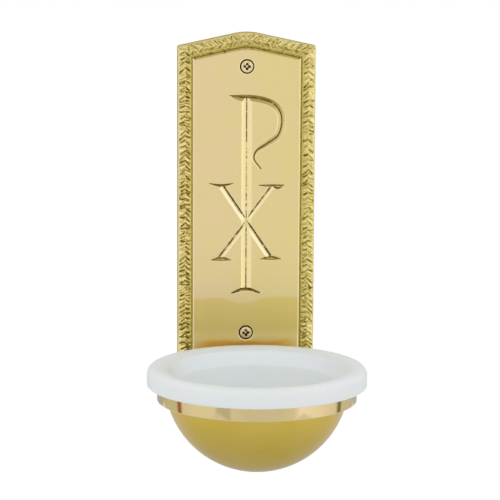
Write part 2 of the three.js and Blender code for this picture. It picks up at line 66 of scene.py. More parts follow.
WHITE: Colour = (1, 1, 1, 1)
BLACK: Colour = (0, 0, 0, 1)
FACING_ROOM = Matrix.Rotation(TURN / 4, 4, "X")
INTO_WALL = Matrix.Rotation(-TURN / 4, 4, "X")


class Join(Enum):
    """How one solid meets another."""

    ADD = "UNION"
    CUT = "DIFFERENCE"


class Run(Enum):
    """Stretches of the plate's border."""

    FOOT = 0
    SIDE = 1
    GABLE = 2


class Side(Enum):
    """Left and right of the plate, as seen from the room."""

    LEFT = -1
    RIGHT = 1


# Modelling moves


class Bench:
    """Modelling moves that the pieces share."""

    @staticmethod
    def clear() -> None:
        """Leaves edit mode and deselects everything."""
        if bpy.context.object and bpy.context.object.mode != "OBJECT":
            bpy.ops.object.mode_set(mode="OBJECT")
        bpy.ops.object.select_all(action="DESELECT")

    @staticmethod
    def pick(piece: Piece) -> None:
        """Makes one piece the selected and active one.

        Args:
            piece: The piece to pick.
        """
        Bench.clear()
        piece.select_set(True)
        bpy.context.view_layer.objects.active = piece

    @staticmethod
    @contextmanager
    def editing(piece: Piece) -> Iterator[bmesh.types.BMesh]:
        """Opens a piece in edit mode.

        Args:
            piece: The piece to edit.

        Returns:
            Its live mesh, which is written back at the end.
        """
        Bench.pick(piece)
        bpy.ops.object.mode_set(mode="EDIT")
        mesh = bmesh.from_edit_mesh(piece.data)
        yield mesh
        bmesh.update_edit_mesh(piece.data)
        bpy.ops.object.mode_set(mode="OBJECT")

    @staticmethod
    def named(name: str) -> Piece:
        """Names the primitive that was just added.

        Args:
            name: Name of the piece and of its mesh.

        Returns:
            The piece.
        """
        piece = bpy.context.object
        piece.name = piece.data.name = name
        return piece

    @staticmethod
    def ring(name: str, points: Sequence[Vector], filled: bool) -> Piece:
        """Adds a circle and lays its corners on a ring of points.

        Args:
            name: Name of the new piece.
            points: Places of the corners, in order.
            filled: Whether the ring gets a face.

        Returns:
            The new piece.
        """
        Bench.clear()
        fill = "NGON" if filled else "NOTHING"
        bpy.ops.mesh.primitive_circle_add(vertices=len(points), fill_type=fill)
        piece = Bench.named(name)
        for vertex, point in zip(piece.data.vertices, points):
            vertex.co = point
        return piece

    @staticmethod
    def loft(name: str, rings: Sequence[Sequence[Vector]]) -> Piece:
        """Extrudes a filled ring from station to station.

        Args:
            name: Name of the new piece.
            rings: Rings of equal counts, the first and last of which close the body.

        Returns:
            The closed body.
        """
        piece = Bench.ring(name, rings[0], True)
        with Bench.editing(piece) as mesh:
            bpy.ops.mesh.select_all(action="SELECT")
            for held, ring in zip(rings, rings[1:]):
                bpy.ops.mesh.extrude_region_move(TRANSFORM_OT_translate={"value": (0, 0, 0)})
                places = {Bench.key(old): new for old, new in zip(held, ring)}
                for vertex in mesh.verts:
                    if vertex.select:
                        vertex.co = places[Bench.key(vertex.co)]
        Bench.outward(piece)
        return piece

    @staticmethod
    def key(point: Vector, fineness: float = 1e8) -> tuple[int, ...]:
        """A place rounded so that it can be looked up."""
        return tuple(round(np.float32(value) * fineness) for value in point)

    @staticmethod
    def outward(piece: Piece, merge: float = 1e-6) -> None:
        """Merges doubles, drops loose parts and turns the faces of a closed piece outwards.

        Args:
            piece: The closed piece.
            merge: Distance within which corners are merged.
        """
        with Bench.editing(piece):
            bpy.ops.mesh.select_all(action="SELECT")
            bpy.ops.mesh.remove_doubles(threshold=merge)
            bpy.ops.mesh.delete_loose()
            bpy.ops.mesh.select_all(action="SELECT")
            bpy.ops.mesh.normals_make_consistent(inside=False)

    @staticmethod
    def turned(name: str, profile: Line, steps: int, place: Matrix = Matrix()) -> Piece:
        """Spins a closed profile about an upright axis.

        Args:
            name: Name of the new piece.
            profile: Radius and height of each point, in order.
            steps: Count of facets round the axis.
            place: Where the axis stands.

        Returns:
            The turned piece.
        """
        piece = Bench.ring(name, [Vector((r, 0, z)) for r, z in profile], False)
        with Bench.editing(piece):
            bpy.ops.mesh.select_all(action="SELECT")
            bpy.ops.mesh.spin(steps=steps, angle=TURN, center=(0, 0, 0), axis=(0, 0, 1))
        piece.data.transform(place)
        Bench.outward(piece)
        return piece

    @staticmethod
    def drill(piece: Piece, radius: float, start: float, end: float, place: Matrix, steps: int = 32) -> None:
        """Bores a round hole into a piece, between two heights on an axis."""
        rod = [(0, start), (radius, start), (radius, end), (0, end)]
        Bench.combine(piece, Bench.turned("drill", rod, steps, place), Join.CUT)

    @staticmethod
    def block(name: str, low: Vector, high: Vector, edge: float = 0.0) -> Piece:
        """Adds a block between two corners and rounds its edges along Y.

        Args:
            name: Name of the new piece.
            low: Lowest corner.
            high: Highest corner.
            edge: Radius of the rounded edges.

        Returns:
            The block.
        """
        Bench.clear()
        bpy.ops.mesh.primitive_cube_add(size=1, location=(low + high) / 2, scale=high - low)
        bpy.ops.object.transform_apply(location=True, rotation=True, scale=True)
        piece = Bench.named(name)
        if edge:
            with Bench.editing(piece) as mesh:
                bpy.ops.mesh.select_all(action="DESELECT")
                for line in mesh.edges:
                    if abs((line.verts[1].co - line.verts[0].co).normalized().y) > 0.9:
                        line.select_set(True)
                bpy.ops.mesh.bevel(offset=edge, segments=6, profile=0.5)
        return piece

    @staticmethod
    def combine(piece: Piece, other: Piece, how: Join) -> None:
        """Joins a second solid to a piece, or cuts it out, and uses it up."""
        Bench.modify(piece, "BOOLEAN", operation=how.value, solver="MANIFOLD", object=other)
        bpy.data.objects.remove(other)

    @staticmethod
    def modify(piece: Piece, kind: str, **settings: object) -> None:
        """Adds a modifier to a piece and applies it.

        Args:
            piece: The piece.
            kind: The modifier's type.
            settings: Its settings.
        """
        step = piece.modifiers.new(kind, kind)
        for name, value in settings.items():
            setattr(step, name, value)
        Bench.pick(piece)
        bpy.ops.object.modifier_apply(modifier=step.name)

    @staticmethod
    def smooth(piece: Piece, angle: float = 35.0) -> None:
        """Shades a piece smooth, apart from edges sharper than an angle, in degrees."""
        Bench.pick(piece)
        bpy.ops.object.shade_smooth_by_angle(angle=math.radians(angle))

    @staticmethod
    def read(elements: bpy.types.bpy_prop_collection, what: str, kind: type, width: int = 1) -> Array:
        """Reads one value, or a row of values, from each element of a mesh.

        Args:
            elements: Corners, edges or faces of a mesh, or an attribute's values.
            what: The property to read.
            kind: The type of its values.
            width: Count of values in a row.

        Returns:
            One value or one row for each element.
        """
        flat = np.empty(width * len(elements), dtype=kind)
        elements.foreach_get(what, flat)
        return flat.reshape(-1, width) if width > 1 else flat

    @staticmethod
    def places(piece: Piece) -> Array:
        """All corners of a piece, one row each."""
        return Bench.read(piece.data.vertices, "co", np.float32, 3).astype(float)

    @staticmethod
    def move(piece: Piece, places: Array) -> None:
        """Lays the corners of a piece on new places."""
        piece.data.vertices.foreach_set("co", places.astype(np.float32).ravel())
        piece.data.update()

    @staticmethod
    def facets(piece: Piece) -> tuple[Array, Array, Array]:
        """Reads how the faces of a piece are laid out.

        Args:
            piece: The piece.

        Returns:
            The corner of the piece under each corner of each face, the face that this one belongs to,
            and the middle of each face.
        """
        mesh = piece.data
        corners = Bench.read(mesh.loops, "vertex_index", np.int32)
        counts = Bench.read(mesh.polygons, "loop_total", np.int32)
        middles = Bench.read(mesh.polygons, "center", np.float32, 3)
        return corners, np.repeat(np.arange(len(counts)), counts), middles.astype(float)

    @staticmethod
    def paint(piece: Piece, name: str, values: Array) -> None:
        """Keeps one number for each corner of each face of a piece under a name."""
        layer = piece.data.attributes.new(name, "FLOAT", "CORNER")
        layer.data.foreach_set("value", values.astype(np.float32))


def rounded(corners: Sequence[Triple], steps: int) -> Line:
    """Rounds the inner corners of an open line.

    Args:
        corners: Radius, height and cut-back of each corner.
        steps: Count of parts in each rounding.

    Returns:
        The points of the rounded line.
    """
    at = [Vector(corner[:2]) for corner in corners]
    line = [at[0]]
    for before, corner, after, (_, _, back) in zip(at, at[1:], at[2:], corners[1:]):
        if not back:
            line.append(corner)
            continue
        into = corner + (before - corner).normalized() * back
        out = corner + (after - corner).normalized() * back
        for step in range(steps + 1):
            share = step / steps
            line.append(into.lerp(corner, share).lerp(corner.lerp(out, share), share))
    return [tuple(point) for point in (*line, at[-1])]


# Shader helpers


class Wire:
    """An output socket whose operators add Math nodes."""

    def __init__(self, recipe: "Recipe", socket: bpy.types.NodeSocket) -> None:
        """Keeps a socket with the recipe that it belongs to."""
        self.recipe = recipe
        self.socket = socket

    def __add__(self, other: "Wire | float") -> "Wire":
        """Sum of this value and another."""
        return self.recipe.math("ADD", self, other)

    def __sub__(self, other: "Wire | float") -> "Wire":
        """This value less another."""
        return self.recipe.math("SUBTRACT", self, other)

    def __rsub__(self, other: float) -> "Wire":
        """A number less this value."""
        return self.recipe.math("SUBTRACT", other, self)

    def __mul__(self, other: "Wire | float") -> "Wire":
        """Product of this value and another."""
        return self.recipe.math("MULTIPLY", self, other)

    def __truediv__(self, other: "Wire | float") -> "Wire":
        """This value divided by another."""
        return self.recipe.math("DIVIDE", self, other)

    def __rtruediv__(self, other: float) -> "Wire":
        """A number divided by this value."""
        return self.recipe.math("DIVIDE", other, self)

    def __abs__(self) -> "Wire":
        """This value without its sign."""
        return self.recipe.math("ABSOLUTE", self)

    __radd__ = __add__
    __rmul__ = __mul__

    def most(self, other: "Wire | float") -> "Wire":
        """The larger of two values."""
        return self.recipe.math("MAXIMUM", self, other)

    def between(self, low: float, high: float) -> "Wire":
        """Runs smoothly from 0 at a low value to 1 at a high one."""
        settings = {"interpolation_type": "SMOOTHSTEP"}
        return self.recipe.node("ShaderNodeMapRange", settings, {0: self, 1: low, 2: high})


class Recipe:
    """Builds the nodes of one material or world."""

    def __init__(self, tree: bpy.types.NodeTree) -> None:
        """Starts from an empty tree."""
        self.tree = tree
        tree.nodes.clear()

    def node(
        self, kind: str, settings: dict | None = None, inputs: dict | None = None, output: int | str = 0
    ) -> Wire:
        """Adds a node.

        Args:
            kind: The node's type.
            settings: Its settings, set first; stops are the places and colours of a ramp.
            inputs: Values or wires for its sockets, by name or number.
            output: The output that is handed back.

        Returns:
            One output of the node.
        """
        made = self.tree.nodes.new(kind)
        for name, value in (settings or {}).items():
            if name == "stops":
                ramp = made.color_ramp.elements
                for index, (place, colour) in enumerate(value):
                    stop = ramp[index] if index < len(ramp) else ramp.new(place)
                    stop.position = place
                    stop.color = colour
            else:
                setattr(made, name, value)
        for name, value in (inputs or {}).items():
            if isinstance(value, Wire):
                self.tree.links.new(value.socket, made.inputs[name])
            else:
                made.inputs[name].default_value = value
        return Wire(self, made.outputs[output] if made.outputs else None)

    def math(self, operation: str, *values: Wire | float) -> Wire:
        """Adds a Math node on one or two values."""
        return self.node("ShaderNodeMath", {"operation": operation}, dict(enumerate(values)))

    def mix(self, share: Wire | float, first: Wire | Colour, second: Wire | Colour) -> Wire:
        """Mixes two colours by a share."""
        return self.node("ShaderNodeMix", {"data_type": "RGBA"}, {0: share, 6: first, 7: second}, 2)

    def place(self, stretch: Sequence[float] = (1, 1, 1)) -> Wire:
        """Object coordinates, stretched along the axes."""
        at = self.node("ShaderNodeTexCoord", output="Object")
        return self.node("ShaderNodeMapping", None, {"Vector": at, "Scale": stretch})

    def grain(self, scale: float, detail: float, stretch: Sequence[float] = (1, 1, 1)) -> Wire:
        """Cloudy noise from 0 to 1, with so many clouds to the metre."""
        inputs = {"Vector": self.place(stretch), "Scale": scale, "Detail": detail}
        return self.node("ShaderNodeTexNoise", None, inputs)

    def painted(self, name: str) -> Wire:
        """A number that the piece keeps for each corner."""
        return self.node("ShaderNodeAttribute", {"attribute_name": name}, output="Fac")

    def along(self, axis: str) -> Wire:
        """One Object coordinate, in metres."""
        at = self.node("ShaderNodeTexCoord", output="Object")
        return self.node("ShaderNodeSeparateXYZ", None, {0: at}, axis)

    def bump(self, height: Wire, distance: float, **below: Wire) -> Wire:
        """Turns a height from 0 to 1 into a normal, over another one if it is given as Normal."""
        inputs = {"Height": height, "Distance": distance, "Strength": 1.0, **below}
        return self.node("ShaderNodeBump", None, inputs)

    def surface(self, inputs: dict) -> None:
        """Ends a material with a Principled surface."""
        shader = self.node("ShaderNodeBsdfPrincipled", None, inputs)
        self.node("ShaderNodeOutputMaterial", None, {"Surface": shader})

    def metal(self, colour: Wire, roughness: Wire, normal: Wire, edge_tint: Colour) -> None:
        """Ends a material with a metal surface, tinted where it is seen aslant."""
        metal = {"Base Color": colour, "Metallic": 1.0, "Roughness": roughness, "Normal": normal}
        self.surface({**metal, "Specular Tint": edge_tint})


class Finish:
    """A finish of the stoup, mixed once and put on any number of pieces."""

    name: str
    slot: str

    def dress(self, recipe: Recipe) -> None:
        """Adds the nodes of the finish."""
        raise NotImplementedError

    def material(self) -> bpy.types.Material:
        """Finds the material of this finish, or makes it when it is first asked for.

        Returns:
            The material.
        """
        made = bpy.data.materials.get(self.name)
        if made is None:
            made = bpy.data.materials.new(self.name)
            made.use_nodes = True
            self.dress(Recipe(made.node_tree))
        return made

    def put_on(self, piece: Piece) -> None:
        """Gives a piece this finish alone.

        Args:
            piece: The piece to dress.
        """
        piece.data.materials.clear()
        piece.data.materials.append(self.material())


@dataclass(frozen=True)
class CastBrass(Finish):
    """Cast brass, buffed on the face, dull in its cuts and rough on the back, with painted reflections,
    highlights and shade in its colour.
    """

    name: str = "buffed_casting"
    slot: str = "cast_brass"
    green_gold: Colour = (0.770, 0.645, 0.278, 1)
    rose_gold: Colour = (0.800, 0.635, 0.348, 1)
    reflected_gold: Colour = (0.715, 0.550, 0.150, 1)
    chased_gold: Colour = (0.700, 0.592, 0.170, 1)
    olive: Colour = (0.372, 0.276, 0.050, 1)
    fresh_metal_and_highlight: Colour = (0.930, 0.815, 0.500, 1)
    tarnish_and_shade: Colour = (0.118, 0.077, 0.005, 1)
    orange_reflection: Colour = (0.960, 0.560, 0.085, 1)
    glow: Colour = (1.0, 0.840, 0.420, 1)
    edge_tint: Colour = (0.60, 0.47, 0.20, 1)
    raw: Colour = (0.50, 0.385, 0.170, 1)
    has_cuts: bool = True
    cloud_scale: float = 45
    speck_scale: float = 700
    brush_scale: float = 420
    brush_stretch: Triple = (1, 1, 0.06)
    rag_scale: float = 420
    pit_scale: float = 260
    brush_height: float = 0.03 * MM
    pit_height: float = 0.3 * MM
    rosy_reflection_side: Range = (-35 * MM, 35 * MM)
    rough_back: Range = (-4.0 * MM, -1.6 * MM)
    reflection_line: Range = (-70.5 * MM, -67.2 * MM)
    reflection_bulge: Range = (4 * MM, 16 * MM)
    reflection_middle: float = -1 * MM
    reflection_rise: float = 3.5 * MM
    reflection_waver: float = 6 * MM
    reflection_share: float = 0.75
    glow_rise: Range = (-101 * MM, -90 * MM)
    glow_share: float = 0.6
    orange_reflection_foot: Range = (-111.0 * MM, -105.0 * MM)
    orange_reflection_head: Range = (-100.6 * MM, -97.2 * MM)
    orange_reflection_ends: Range = (22 * MM, 44 * MM)
    orange_reflection_waver: float = 2.4 * MM
    orange_reflection_share: float = 0.85
    chased_share: float = 0.9
    ragged: float = 1.7
    tarnish_and_shade_start: Range = (0.40, 0.85)
    tarnish_and_shade_share: Range = (0.93, 0.15)
    tarnish_rough: float = 0.16
    roughness: float = 0.27

    def painted_reflections(self, recipe: Recipe, colour: Wire, clouds: Wire, buffed: Wire) -> Wire:
        """Paints reflections on the buffed face: deeper gold low down, lighter gold near the liner, and an
        orange band just above the liner.

        Args:
            recipe: Builds the nodes.
            colour: Colour of the clean face.
            clouds: Noise that makes the marks waver.
            buffed: 1 on the buffed face and 0 on the rough back.

        Returns:
            The colour with its painted reflections.
        """
        # Painted reflection: deeper gold below a wavering line low on the panel, rising a little in the
        # middle.
        bulge = 1 - abs(recipe.along("X") - self.reflection_middle).between(*self.reflection_bulge)
        line = recipe.along("Z") + self.reflection_rise * bulge + self.reflection_waver * (clouds - 0.5)
        low = 1 - line.between(*self.reflection_line)
        colour = recipe.mix(self.reflection_share * low * buffed, colour, self.reflected_gold)
        # Painted reflection of the white liner: lighter gold just above it.
        near = 1 - recipe.along("Z").between(*self.glow_rise)
        colour = recipe.mix(self.glow_share * near * buffed, colour, self.glow)
        # Painted reflection: an orange band just above the liner, fading out towards the sides.
        reflection_height = recipe.along("Z") + self.orange_reflection_waver * clouds.between(0.3, 0.7)
        orange_reflection_band = reflection_height.between(*self.orange_reflection_foot) * (1 - reflection_height.between(*self.orange_reflection_head))
        orange_reflection_band = orange_reflection_band * (1 - abs(recipe.along("X")).between(*self.orange_reflection_ends))
        return recipe.mix(self.orange_reflection_share * orange_reflection_band * buffed, colour, self.orange_reflection)

    def marked(self, recipe: Recipe, colour: Wire) -> tuple[Wire, Wire]:
        """Colours the border, the bright edges and the dull cuts by what is painted on the plate, with wear
        and painted highlights on the edges and painted shade in the cuts.

        Args:
            recipe: Builds the nodes.
            colour: Colour of the plain face.

        Returns:
            The colour with its marks, and how dark each place is from tarnishing and from painted shade.
        """
        rag = recipe.grain(self.rag_scale, 3)
        chased = recipe.painted("chased")
        colour = recipe.mix(self.chased_share * chased, colour, self.chased_gold)
        # Wear and painted highlights: lighter metal on edges, rims and between the strokes.
        colour = recipe.mix(recipe.painted("brightened") * (0.55 + 0.6 * rag), colour, self.fresh_metal_and_highlight)
        # Darkening in the cuts, strokes and groove: tarnishing, with painted shade on the cuts' darker
        # flanks, on the strokes and under the gable.
        deep = (recipe.painted("dull") + self.ragged * (rag - 0.5)).between(*self.tarnish_and_shade_start)
        colour = recipe.mix(recipe.painted("olive") * (0.75 + 0.5 * rag), colour, self.olive)
        plain, less = self.tarnish_and_shade_share
        return recipe.mix(deep * (plain - less * chased), colour, self.tarnish_and_shade), deep

    def dress(self, recipe: Recipe) -> None:
        """Adds the nodes of the finish.

        Args:
            recipe: Builds the nodes.
        """
        clouds = recipe.grain(self.cloud_scale, 3)
        specks = recipe.grain(self.speck_scale, 4)
        lines = recipe.grain(self.brush_scale, 2, self.brush_stretch)
        # Random rose and green tones, and a painted reflection that makes the left side rosier.
        rosy_tone_and_reflection = 0.45 * clouds.between(0.35, 0.65) + 0.55 * (1 - recipe.along("X").between(*self.rosy_reflection_side))
        colour = recipe.mix(rosy_tone_and_reflection, self.green_gold, self.rose_gold)
        colour = recipe.mix((1 - specks.between(0.2, 0.45)) * 0.05, colour, self.tarnish_and_shade)
        raw = recipe.along("Y").between(*self.rough_back) if self.has_cuts else clouds.between(0.1, 0.9)
        if self.has_cuts:
            # Painted reflections on the buffed face, low down near the bowl.
            colour = self.painted_reflections(recipe, colour, clouds, 1 - raw)
        colour = recipe.mix(raw * 0.8, colour, self.raw)
        roughness = self.roughness + 0.08 * lines + 0.06 * clouds + 0.14 * raw
        if self.has_cuts:
            colour, deep = self.marked(recipe, colour)
            roughness = roughness + self.tarnish_rough * deep
        normal = recipe.bump(0.3 * specks + 0.3 * lines, self.brush_height)
        normal = recipe.bump(recipe.grain(self.pit_scale, 5) * raw, self.pit_height, Normal=normal)
        recipe.metal(colour, roughness, normal, self.edge_tint)


@dataclass(frozen=True)
class TurnedBrass(Finish):
    """Brass with the faint rings of its spinning or turning."""

    name: str
    slot: str
    gold: Colour
    pale_gold: Colour
    cloud_scale: float
    ring_scale: float
    ring_stretch: float
    ring_height: float
    roughness: float
    ring_roughness: float
    cloud_roughness: float
    edge_tint: Colour = WHITE

    def dress(self, recipe: Recipe) -> None:
        """Adds the nodes of the finish.

        Args:
            recipe: Builds the nodes.
        """
        clouds = recipe.grain(self.cloud_scale, 3)
        rings = recipe.grain(self.ring_scale, 2, (self.ring_stretch, self.ring_stretch, 1))
        colour = recipe.mix(clouds.between(0.3, 0.7), self.gold, self.pale_gold)
        roughness = self.roughness + self.ring_roughness * rings + self.cloud_roughness * clouds
        recipe.metal(colour, roughness, recipe.bump(rings, self.ring_height), self.edge_tint)


@dataclass(frozen=True)
class ScrewMetal(Finish):
    """Screw metal, brushed by its driver and dull in the thread, with painted shade in the recess and round
    the rim of the head.
    """

    name: str = "screw_plating"
    slot: str = "screw_brass"
    face: Colour = (0.75, 0.590, 0.320, 1)
    brightened: Colour = (0.90, 0.745, 0.430, 1)
    dull: Colour = (0.040, 0.018, 0.0005, 1)
    edge_tint: Colour = (0.30, 0.19, 0.05, 1)
    cloud_scale: float = 420
    speck_scale: float = 1900
    speck_height: float = 0.02 * MM
    speck_share: float = 0.3
    roughness: float = 0.28

    def dress(self, recipe: Recipe) -> None:
        """Adds the nodes of the finish.

        Args:
            recipe: Builds the nodes.
        """
        clouds = recipe.grain(self.cloud_scale, 3)
        specks = recipe.grain(self.speck_scale, 3)
        dark = recipe.painted("dull")
        colour = recipe.mix(clouds.between(0.3, 0.7), self.face, self.brightened)
        colour = recipe.mix((1 - specks.between(0.25, 0.5)) * self.speck_share, colour, self.dull)
        # Painted shade in the recess and round the rim of the head; the thread is dull.
        colour = recipe.mix(dark, colour, self.dull)
        roughness = self.roughness + 0.16 * clouds + 0.2 * dark
        recipe.metal(colour, roughness, recipe.bump(specks, self.speck_height), self.edge_tint)


@dataclass(frozen=True)
class MilkPlastic(Finish):
    """Milky white moulded plastic that lets a little light in."""

    name: str = "milky_plastic"
    slot: str = "milk_white"
    white: Colour = (0.795, 0.838, 0.850, 1)
    warm: Colour = (0.810, 0.838, 0.836, 1)
    light: Colour = (0.845, 0.885, 0.925, 1)
    deep: Colour = (0.700, 0.725, 0.715, 1)
    cloud_scale: float = 30
    speck_scale: float = 1200
    speck_height: float = 0.008 * MM
    haze: float = 0.12
    haze_depth: float = 2 * MM
    haze_tint: Triple = (1.0, 1.0, 0.95)
    bending: float = 1.49
    roughness: float = 0.30

    def dress(self, recipe: Recipe) -> None:
        """Adds the nodes of the finish.

        Args:
            recipe: Builds the nodes.
        """
        clouds = recipe.grain(self.cloud_scale, 2)
        specks = recipe.grain(self.speck_scale, 3)
        colour = recipe.mix(clouds.between(0.3, 0.7), self.white, self.warm)
        # Painted light on the collar towards the back and the right, painted shade at its near, left part.
        colour = recipe.mix(recipe.painted("painted_light"), colour, self.light)
        colour = recipe.mix(recipe.painted("shaded"), colour, self.deep)
        recipe.surface({
            "Base Color": colour, "Roughness": self.roughness + 0.10 * clouds + 0.05 * specks,
            "Normal": recipe.bump(specks, self.speck_height), "IOR": self.bending,
            "Subsurface Weight": self.haze, "Subsurface Radius": self.haze_tint,
            "Subsurface Scale": self.haze_depth,
        })


CAST = CastBrass()
BRACKET_CAST = CastBrass(name="plain_casting", has_cuts=False)
SPUN = TurnedBrass(
    name="spun_satin", slot="satin_brass", gold=(0.590, 0.432, 0.074, 1), pale_gold=(0.610, 0.458, 0.096, 1),
    cloud_scale=38, ring_scale=900, ring_stretch=0.02, ring_height=0.01 * MM,
    roughness=0.30, ring_roughness=0.07, cloud_roughness=0.05, edge_tint=(0.84, 0.86, 1.0, 1),
)
POLISHED = TurnedBrass(
    name="turned_polish", slot="polished_brass", gold=(0.600, 0.490, 0.240, 1),
    pale_gold=(0.625, 0.485, 0.265, 1), cloud_scale=60, ring_scale=2600, ring_stretch=0.01,
    ring_height=0.003 * MM, roughness=0.045, ring_roughness=0.03, cloud_roughness=0.03,
)
SCREW = ScrewMetal()
ZINC = ScrewMetal(
    name="zinc_plating", slot="zinc_steel", face=(0.47, 0.48, 0.47, 1), brightened=(0.62, 0.63, 0.62, 1),
    dull=(0.16, 0.16, 0.15, 1), edge_tint=(0.85, 0.86, 0.87, 1),
)
MILK = MilkPlastic()


def hand_over(piece: Piece, finish: Finish, body: str, *nodes: str) -> None:
    """Dresses a finished piece, sets it on its body and reports it.

    Args:
        piece: The finished piece.
        finish: Its finish.
        body: The body that it moves with.
        nodes: The solids that it stands for.
    """
    finish.put_on(piece)
    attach(piece, body)
    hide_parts(*nodes)
    piece.data.calc_loop_triangles()
    LOG.info("%s: %d triangles, on %s", piece.name, len(piece.data.loop_triangles), body)


# Sizes that pieces share


@dataclass(frozen=True)
class Layout:
    """Places that more than one piece is built from; angles are in degrees."""

    screw_height: float = 94 * MM
    panel_face: float = 5.5 * MM
    bowl_y: float = -88.3 * MM
    bowl_z: float = -109.3 * MM
    bowl_radius: float = 62 * MM
    bowl_wall: float = 1.5 * MM
    band_radius: float = 67 * MM
    band_inner: float = 64.5 * MM
    band_foot: float = -122.8 * MM
    band_top: float = -103.783 * MM
    flange_z: float = -120.0 * MM
    lip_top: float = -100.2 * MM
    bracket_width: float = 40 * MM
    bracket_height: float = 23 * MM
    bracket_mid: float = -126.3 * MM
    bracket_screw: float = 10 * MM
    bracket_bore: float = 2.7 * MM
    bowl_screw_tilt: float = -16
    bowl_screw_spread: float = 8.5
    bowl_bore: float = 2.3 * MM
    bowl_bore_start: float = 56 * MM
    seat_gap: float = 0.3 * MM

    def bowl_place(self) -> Matrix:
        """Where the upright axis of the bowl stands."""
        return Matrix.Translation((0, self.bowl_y, 0))

    def ball_radius(self, radius: float, height: float) -> float:
        """Radius of a ball about the bowl's centre at a height."""
        return math.sqrt(radius**2 - (self.bowl_z - height) ** 2)

    def ball_arc(self, radius: float, top: float, steps: int) -> Line:
        """Lays out the profile of a ball about the bowl's centre.

        Args:
            radius: Radius of the ball.
            top: Height at which the profile ends.
            steps: Count of parts in the profile.

        Returns:
            Radius and height of each point, from the lowest one up.
        """
        reach = math.acos((self.bowl_z - top) / radius)
        angles = [reach * i / steps for i in range(steps + 1)]
        return [(radius * math.sin(a), self.bowl_z - radius * math.cos(a)) for a in angles]

    def wall_screws(self) -> Range:
        """Heights of the upper and the lower wall screw."""
        return self.screw_height, -self.screw_height

    def bracket_screw_place(self, side: Side) -> Matrix:
        """Where the axis of a bracket screw meets the wall."""
        return Matrix.Translation((side.value * self.bracket_screw, 0, self.bracket_mid))

    def bowl_screw_axis(self, side: Side) -> Matrix:
        """Turns an upright axis into that of a screw from the bowl's centre through its side.

        Args:
            side: The side of the screw.

        Returns:
            The turn, about the bowl's centre.
        """
        tilt, spread = math.radians(self.bowl_screw_tilt), math.radians(self.bowl_screw_spread)
        turned = Euler((tilt, 0, -side.value * spread), "YXZ").to_matrix().to_4x4()
        return Matrix.Translation((0, self.bowl_y, self.bowl_z)) @ turned @ INTO_WALL


LAYOUT = Layout()


# Pieces


def vary(limits: Range, chance: Array) -> Array:
    """A least value, and what chance adds to it."""
    return limits[0] + limits[1] * chance


@dataclass(frozen=True)
class Stroke:
    """Shape of a chased stroke; ranges give a least value and what chance adds to it."""

    lean: float
    wander: float
    reach: float = 4.3 * MM
    stray: float = 0.45
    weak_share: float = 0.08
    weak_depth: float = 0.3
    depth: Range = (0.65, 0.45)
    length: Range = (0.80, 0.28)
    hook: Range = (0.1, 0.7)
    breadth: Range = (0.7, 0.6)
    flanks: Range = (0.21, 0.37)
    hollow: float = 1.2
    root_depth: float = 0.45
    root: float = 0.7 * MM
    tip: float = 0.9 * MM

    def depths(self, way: Array, off: Array, pitch: float, draws: Array) -> Array:
        """Finds how deep a row of strokes is.

        Args:
            way: Places along the run.
            off: Their distances from the crest.
            pitch: Step from stroke to stroke.
            draws: Rows of chance values, one column for each stroke.

        Returns:
            Depths from 0 to about 1.
        """
        shifted = way + self.lean * off
        best = np.zeros_like(way)
        first = np.floor(shifted / pitch).astype(int)
        start = np.clip(self.root_depth + off / self.root, 0, 1)
        for offset in (-2, -1, 0, 1, 2):
            index = np.clip(first + offset, 0, draws.shape[1] - 1)
            place, turn, skip, force, size, spread = draws[:, index]
            middle = (first + offset + 0.5) * pitch + (place - 0.5) * self.stray * pitch
            hook = self.lean * vary(self.hook, size) * off**2 / (2 * self.reach)
            aside = shifted - middle + (turn - 0.5) * self.wander * off - hook
            flank = np.where(aside > 0, *self.flanks) * pitch * vary(self.breadth, spread)
            cross = np.clip(1 - np.abs(aside) / flank, 0, 1) ** self.hollow
            strong = np.where(skip < self.weak_share, self.weak_depth, vary(self.depth, force))
            end = np.clip((self.reach * vary(self.length, size) - off) / self.tip, 0, 1)
            best = np.maximum(best, strong * cross * start * end)
        return best


